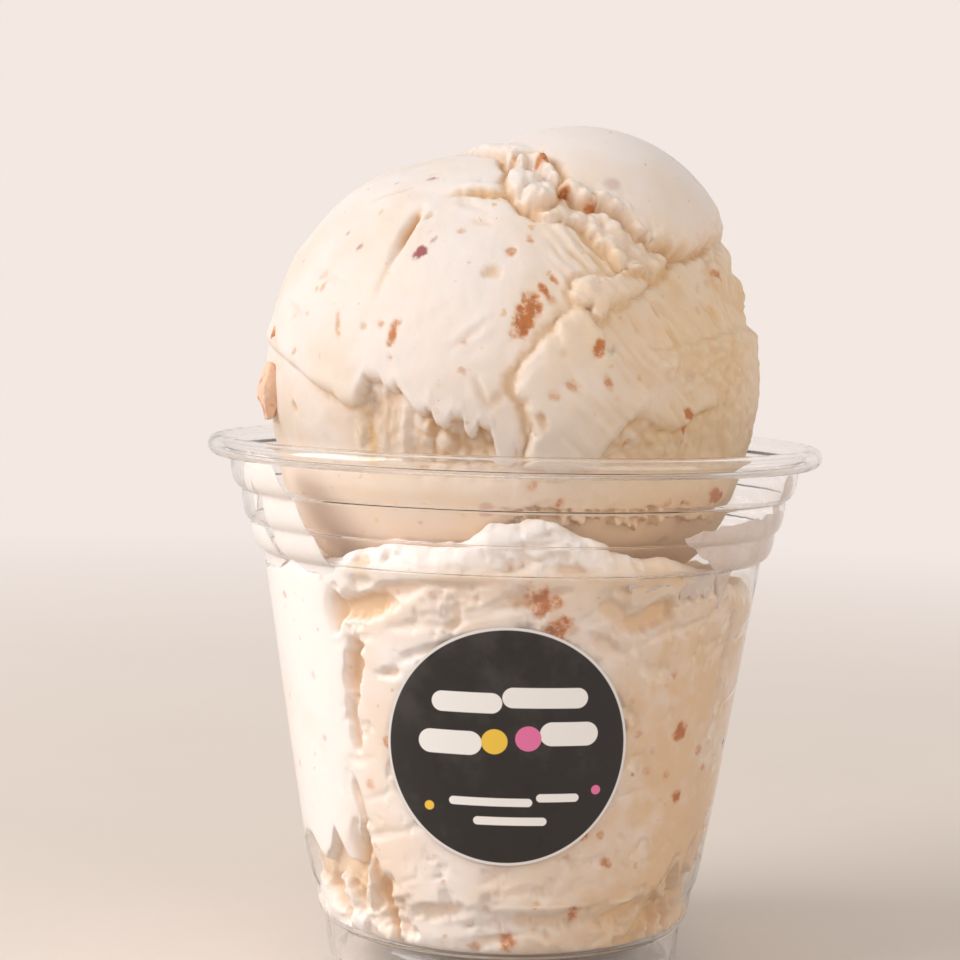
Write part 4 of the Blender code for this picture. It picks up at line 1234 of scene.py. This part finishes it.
def film_material(settings):
    """Melted cream drawn thin on the wall: milky at the left, thinner and warmer to the right."""
    graph = Graph("gelato_film")
    place = graph.place()
    drift = graph.smooth(graph.noise(0.006, 3.0, 0.5, place), 0.35, 0.7)
    colour = graph.mix(drift * 0.4, rgba(settings.film), rgba(settings.cream))
    across = graph.add("ShaderNodeSeparateXYZ", None, {0: place}, "X")
    right = graph.smooth(across, -0.005, 0.012)
    colour = graph.mix(right * 0.9, colour, rgba(settings.thin_film))
    shader = graph.principled(
        Base_Color=colour, Roughness=0.42 - drift * 0.12, IOR=1.35, Alpha=1.0 - right * (0.18 + drift * 0.34),
        Normal=graph.bump(graph.noise(0.002, 2.0, 0.5, place), 0.15, 0.0003),
        Subsurface_Weight=0.15, Subsurface_Scale=0.002)
    return graph.finish(shader)


class GELATO_OT_films(Operator):
    """Make the melted films and drips on the inner wall"""
    bl_idname = "gelato.films"
    bl_label = "Films"

    def execute(self, context):
        material = film_material(context.scene.gelato_colours)
        for number, (name, spec) in enumerate(FILMS.items()):
            points, faces = film_skin(number, spec)
            finish(put_mesh(f"film_{name}", points, faces, material), "gelato_packed")
        return {"FINISHED"}


# ---------------------------------------------------------------- toffee chunk

def toffee_material(settings):
    """Broken toffee: peach faces, browner in its hollows, with pale creamy smudges."""
    graph = Graph("toffee")
    place = graph.place()
    drift = graph.noise(0.0030, 3.0, 0.5, place)
    face = from_srgb(250, 208, 176)
    brown = from_srgb(206, 132, 84)
    colour = graph.mix(graph.smooth(drift, 0.50, 0.68), rgba(face), rgba(brown))
    smudge = graph.smooth(graph.noise(0.0040, 2.0, 0.5, place), 0.55, 0.66)
    colour = graph.mix(smudge * 0.5, colour, rgba(settings.cream))
    shader = graph.principled(
        Base_Color=colour, Roughness=0.5 - smudge * 0.15,
        Normal=graph.bump(drift + 0.5 * graph.noise(0.0006, 2.0, 0.6, place), 0.5, 0.0004),
        Subsurface_Weight=0.1, Subsurface_Scale=0.001)
    return graph.finish(shader)


CHUNK_BEARING = -77.0
CHUNK_TILT = -9.0
CHUNK_HALF = np.array([2.5, 3.1, 4.4])


def broken_block(middle, half, axes, seed, count):
    """A broken block: a sphere pushed towards a box, cut by chance planes, narrow at its foot, rough."""
    bearing, elevation = np.meshgrid(np.linspace(-180, 180, 2 * count, endpoint=False),
                                     np.linspace(86, -86, count))

    def shaped(way):
        power = 7.0
        limit = np.sum(np.abs(way) ** power, axis=-1) ** (-1.0 / power)
        for index in range(9):
            cell = np.array([index, seed, 3])
            normal = np.array([hashed(cell, axis) for axis in range(3)])
            facing = np.maximum(way @ (normal / np.linalg.norm(normal)), 1e-6)
            limit = np.minimum(limit, (0.96 + 0.12 * hashed(cell, 7)) / facing)
        form = way * (limit * (1.0 + 0.06 * fractal(way * 3.0, 1.4, 4, seed)))[..., None]
        narrow = 1.0 - 0.42 * smooth(-form[..., 2], -0.2, 1.0)
        form = form * np.stack([narrow, narrow, np.ones(narrow.shape)], axis=-1)
        return (form * half) @ axes.T + middle

    tips = shaped(np.array([[0.0, 0.0, 1.0], [0.0, 0.0, -1.0]]))
    return skin(shaped(directions(bearing, elevation)), tips[0], tips[1])


class GELATO_OT_chunk(Operator):
    """Make the broken toffee chunk in the ball's left side"""
    bl_idname = "gelato.chunk"
    bl_label = "Toffee chunk"

    def execute(self, context):
        middle = (CHUNK_LOW + CHUNK_HIGH) / 2.0 + np.array([0.3, 0.0, 0.3])
        turn = Matrix.Rotation(radians(CHUNK_BEARING + FRONT), 3, "Z")
        turn = turn @ Matrix.Rotation(radians(CHUNK_TILT), 3, "Y")
        points, faces = broken_block(middle, CHUNK_HALF, np.array(turn), 5, 44)
        material = toffee_material(context.scene.gelato_colours)
        chunk = put_mesh("toffee_block", points, faces, material, sharp=40)
        finish(chunk, "toffee", "toffee_chunk")
        return {"FINISHED"}


# ---------------------------------------------------------------- label

def label_material(settings):
    """Printed film: dark and cloudy, with a pale edge, plain pale bars and coloured dots."""
    graph = Graph("label_film")
    place = graph.place()
    spot = graph.add("ShaderNodeUVMap", {"uv_map": "disc"})
    across, up = graph.add("ShaderNodeSeparateXYZ", None, {0: spot}, (0, 1))
    from_middle = (across * across + up * up) ** 0.5
    soft = 0.004

    def bar(x, y, length, thick):
        """A bar with round ends."""
        aside = (abs(across - x) - length).over(0.0)
        away = (aside * aside + (up - y) * (up - y)) ** 0.5
        return 1.0 - graph.smooth(away, thick - soft, thick + soft)

    def disc(x, y, radius):
        away = ((across - x) * (across - x) + (up - y) * (up - y)) ** 0.5
        return 1.0 - graph.smooth(away, radius - soft, radius + soft)

    cloud = graph.smooth(graph.noise(0.007, 4.0, 0.6, place) + (up - across) * 0.10, 0.48, 0.75)
    pits = graph.smooth(graph.noise(0.0022, 2.0, 0.5, place), 0.62, 0.72)
    body = graph.mix(cloud * 0.75, rgba(settings.ground), rgba(settings.cloud))
    body = graph.mix(pits * 0.6, body, rgba(tuple(0.6 * part for part in settings.ground)))
    pale = bar(-0.33, 0.37, 0.20, 0.085).over(bar(0.30, 0.42, 0.26, 0.085))
    pale = pale.over(bar(-0.46, 0.03, 0.16, 0.10)).over(bar(0.50, 0.12, 0.14, 0.10))
    pale = pale.over(bar(-0.12, -0.46, 0.30, 0.035)).over(bar(0.42, -0.42, 0.14, 0.035))
    pale = pale.over(bar(0.04, -0.62, 0.26, 0.035))
    body = graph.mix(pale, body, rgba(settings.mark))
    body = graph.mix(disc(-0.10, 0.05, 0.105).over(disc(-0.62, -0.52, 0.04)), body, rgba(settings.first))
    body = graph.mix(disc(0.17, 0.08, 0.105).over(disc(0.74, -0.36, 0.04)), body, rgba(settings.second))
    rim = graph.smooth(from_middle, 0.972, 0.982)
    body = graph.mix(rim, body, rgba(from_srgb(232, 226, 222)))
    shader = graph.principled(
        Base_Color=body, Roughness=0.42 + cloud * 0.12,
        Normal=graph.bump(graph.noise(0.003, 2.0, 0.5, place), 0.04, 0.0003))
    return graph.finish(shader)


# Heights over the wall of the label's face, rim and back
LABEL_FACE = 0.11
LABEL_RIM = 0.07
LABEL_BACK = 0.02


class GELATO_OT_label(Operator):
    """Wrap the round label on the front of the wall"""
    bl_idname = "gelato.label"
    bl_label = "Label"

    def execute(self, context):
        slope = (RINGS[-1][0] - WALL_FOOT[0]) / (RINGS[-1][1] - WALL_FOOT[1])
        lean = sqrt(1.0 + slope * slope)
        radius = (LABEL_HIGH[2] - LABEL_LOW[2]) / 2.0 * lean
        middle = (LABEL_HIGH[2] + LABEL_LOW[2]) / 2.0
        steps = np.concatenate([np.linspace(0.04, 1.0, 26), np.linspace(1.0, 0.04, 8)])[:, None]
        lift = np.concatenate([np.full(26, LABEL_FACE), np.full(8, LABEL_BACK)])[:, None]
        lift[25] = LABEL_RIM
        turn = np.linspace(0.0, 2.0 * pi, 200, endpoint=False)[None, :]
        across = radius * steps * np.cos(turn)
        up = radius * steps * np.sin(turn)

        def wrap(across, up, lift):
            height = middle + up / lean
            wall = WALL_FOOT[0] + slope * (height - WALL_FOOT[1])
            return on_bearing(np.degrees(across / wall), wall + lift, height)

        rows = wrap(across, up, lift)
        front = wrap(np.zeros(1), np.zeros(1), LABEL_FACE)[0]
        rear = wrap(np.zeros(1), np.zeros(1), LABEL_BACK)[0]
        points, faces = skin(rows, front, rear)
        material = label_material(context.scene.gelato_label)
        label = put_mesh("label_disc", points, faces, material, sharp=60)
        spread = np.stack([across, up], axis=-1).reshape(-1, 2) / radius
        flat = np.concatenate([[[0.0, 0.0]], spread, [[0.0, 0.0]]])
        corners = np.zeros(len(label.data.loops), dtype=np.int32)
        label.data.loops.foreach_get("vertex_index", corners)
        layer = label.data.uv_layers.new(name="disc")
        layer.data.foreach_set("uv", flat[corners].astype(np.float32).ravel())
        finish(label, "label_film", "label")
        return {"FINISHED"}


# ---------------------------------------------------------------- stage

FLOOR_REACH = 1400.0            # mm from the cup to the floor's edge
LAMP_TARGET = (0.0, 0.0, 0.07)  # metres


def look_matrix(settings):
    """The camera's place: in front of the axis, pitched down, turned and rolled."""
    turn = Matrix.Rotation(settings.turn, 4, "Z")
    tip = Matrix.Rotation(pi / 2.0 - settings.pitch, 4, "X")
    roll = Matrix.Rotation(settings.roll, 4, "Z")
    return Matrix.Translation((0.0, -settings.distance, settings.height)) @ turn @ tip @ roll


def seen_ray(tree):
    """1 for the rays that the camera, glass and reflections send, 0 for those that light things."""
    path = tree.nodes.new("ShaderNodeLightPath")
    seen = path.outputs["Is Camera Ray"]
    for name in ("Is Glossy Ray", "Is Transmission Ray"):
        larger = tree.nodes.new("ShaderNodeMath")
        larger.operation = "MAXIMUM"
        tree.links.new(seen, larger.inputs[0])
        tree.links.new(path.outputs[name], larger.inputs[1])
        seen = larger.outputs[0]
    return seen


def floor_material(settings):
    """Pale matt floor with the faintest mottling, which fades into the backdrop far away."""
    graph = Graph("floor")
    place = graph.place()
    drift = graph.noise(0.05, 4.0, 0.6, place)
    darker = tuple(0.94 * part for part in settings.floor)
    colour = graph.mix(drift, rgba(settings.floor), rgba(darker))
    shader = graph.principled(Base_Color=colour, Roughness=0.6, Normal=graph.bump(drift, 0.02, 0.001))
    away = graph.add("ShaderNodeVectorMath", {"operation": "LENGTH"}, {0: place}, "Value")
    far = graph.smooth(away, settings.fade_start, settings.fade_end) * Value(graph, seen_ray(graph.tree))
    glow = graph.add("ShaderNodeEmission", None, {"Color": rgba(settings.backdrop)}, "Emission")
    return graph.finish(graph.add("ShaderNodeMixShader", None, {0: far, 1: shader, 2: glow}, "Shader"))


def add_lamp(name, power, size, place, target):
    """A white square area lamp aimed at a point."""
    data = bpy.data.lights.new(name, "AREA")
    data.energy = power
    data.size = size
    lamp = bpy.data.objects.new(name, data)
    lamp.location = place
    way = Matrix.Translation(target).translation - Matrix.Translation(place).translation
    lamp.rotation_euler = way.to_track_quat("-Z", "Y").to_euler()
    bpy.context.scene.collection.objects.link(lamp)


def studio_world(settings):
    """White even light, and a pale backdrop for what the camera, glass and reflections see."""
    world = bpy.data.worlds.new("studio")
    world.use_nodes = True
    tree = world.node_tree
    light = tree.nodes["Background"]
    light.inputs["Color"].default_value = (1.0, 1.0, 1.0, 1.0)
    light.inputs["Strength"].default_value = settings.ambient
    backdrop = tree.nodes.new("ShaderNodeBackground")
    backdrop.inputs["Color"].default_value = rgba(settings.backdrop)
    mixed = tree.nodes.new("ShaderNodeMixShader")
    tree.links.new(seen_ray(tree), mixed.inputs[0])
    tree.links.new(light.outputs[0], mixed.inputs[1])
    tree.links.new(backdrop.outputs[0], mixed.inputs[2])
    tree.links.new(mixed.outputs[0], tree.nodes["World Output"].inputs["Surface"])
    return world


class GELATO_OT_stage(Operator):
    """Make the floor, backdrop, lamps, world and camera"""
    bl_idname = "gelato.stage"
    bl_label = "Stage"

    def execute(self, context):
        scene = context.scene
        settings = scene.gelato_stage
        reach = np.linspace(-1.0, 1.0, 12) * FLOOR_REACH
        rows = np.stack(np.broadcast_arrays(reach[None, :], reach[:, None], 0.0), axis=-1)
        here = np.arange(rows.shape[0] * rows.shape[1]).reshape(rows.shape[:2])
        faces = np.stack([here[:-1, :-1], here[:-1, 1:], here[1:, 1:], here[1:, :-1]], axis=-1).reshape(-1, 4)
        floor = put_mesh("floor", rows.reshape(-1, 3), faces.tolist(), floor_material(settings))

        add_lamp("key", settings.key_power, 0.7, (-0.85, -0.30, 0.62), LAMP_TARGET)
        add_lamp("fill", settings.fill_power, 0.8, (0.8, -0.7, 0.4), LAMP_TARGET)
        scene.world = studio_world(settings)

        camera = bpy.data.objects.new("camera", bpy.data.cameras.new("camera"))
        camera.data.lens = settings.lens
        camera.matrix_world = look_matrix(settings)
        scene.collection.objects.link(camera)
        scene.camera = camera
        scene.view_settings.view_transform = "Standard"
        return {"FINISHED"}


# ---------------------------------------------------------------- panel and registration

class GELATO_PT_panel(Panel):
    """Lists the makers of the cup's pieces"""
    bl_label = "Gelato Cup"
    bl_space_type = "VIEW_3D"
    bl_region_type = "UI"
    bl_category = "Gelato Cup"

    def draw(self, context):
        for operator in OPERATORS:
            self.layout.operator(operator.bl_idname)


GROUPS = (CupSettings, GelatoSettings, LabelSettings, StageSettings)
OPERATORS = (
    GELATO_OT_cup, GELATO_OT_filling, GELATO_OT_ball, GELATO_OT_chunk, GELATO_OT_films, GELATO_OT_label,
    GELATO_OT_stage)
POINTERS = (("gelato_cup", CupSettings), ("gelato_colours", GelatoSettings), ("gelato_label", LabelSettings),
            ("gelato_stage", StageSettings))


def register():
    for item in (*GROUPS, *OPERATORS, GELATO_PT_panel):
        bpy.utils.register_class(item)
    for name, group in POINTERS:
        setattr(bpy.types.Scene, name, PointerProperty(type=group))


def unregister():
    for name, _ in POINTERS:
        delattr(bpy.types.Scene, name)
    for item in reversed((*GROUPS, *OPERATORS, GELATO_PT_panel)):
        bpy.utils.unregister_class(item)


def main():
    register()
    bpy.ops.gelato.cup()
    bpy.ops.gelato.filling()
    bpy.ops.gelato.ball()
    bpy.ops.gelato.chunk()
    bpy.ops.gelato.films()
    bpy.ops.gelato.label()
    bpy.ops.gelato.stage()


if __name__ == "__main__":
    main()
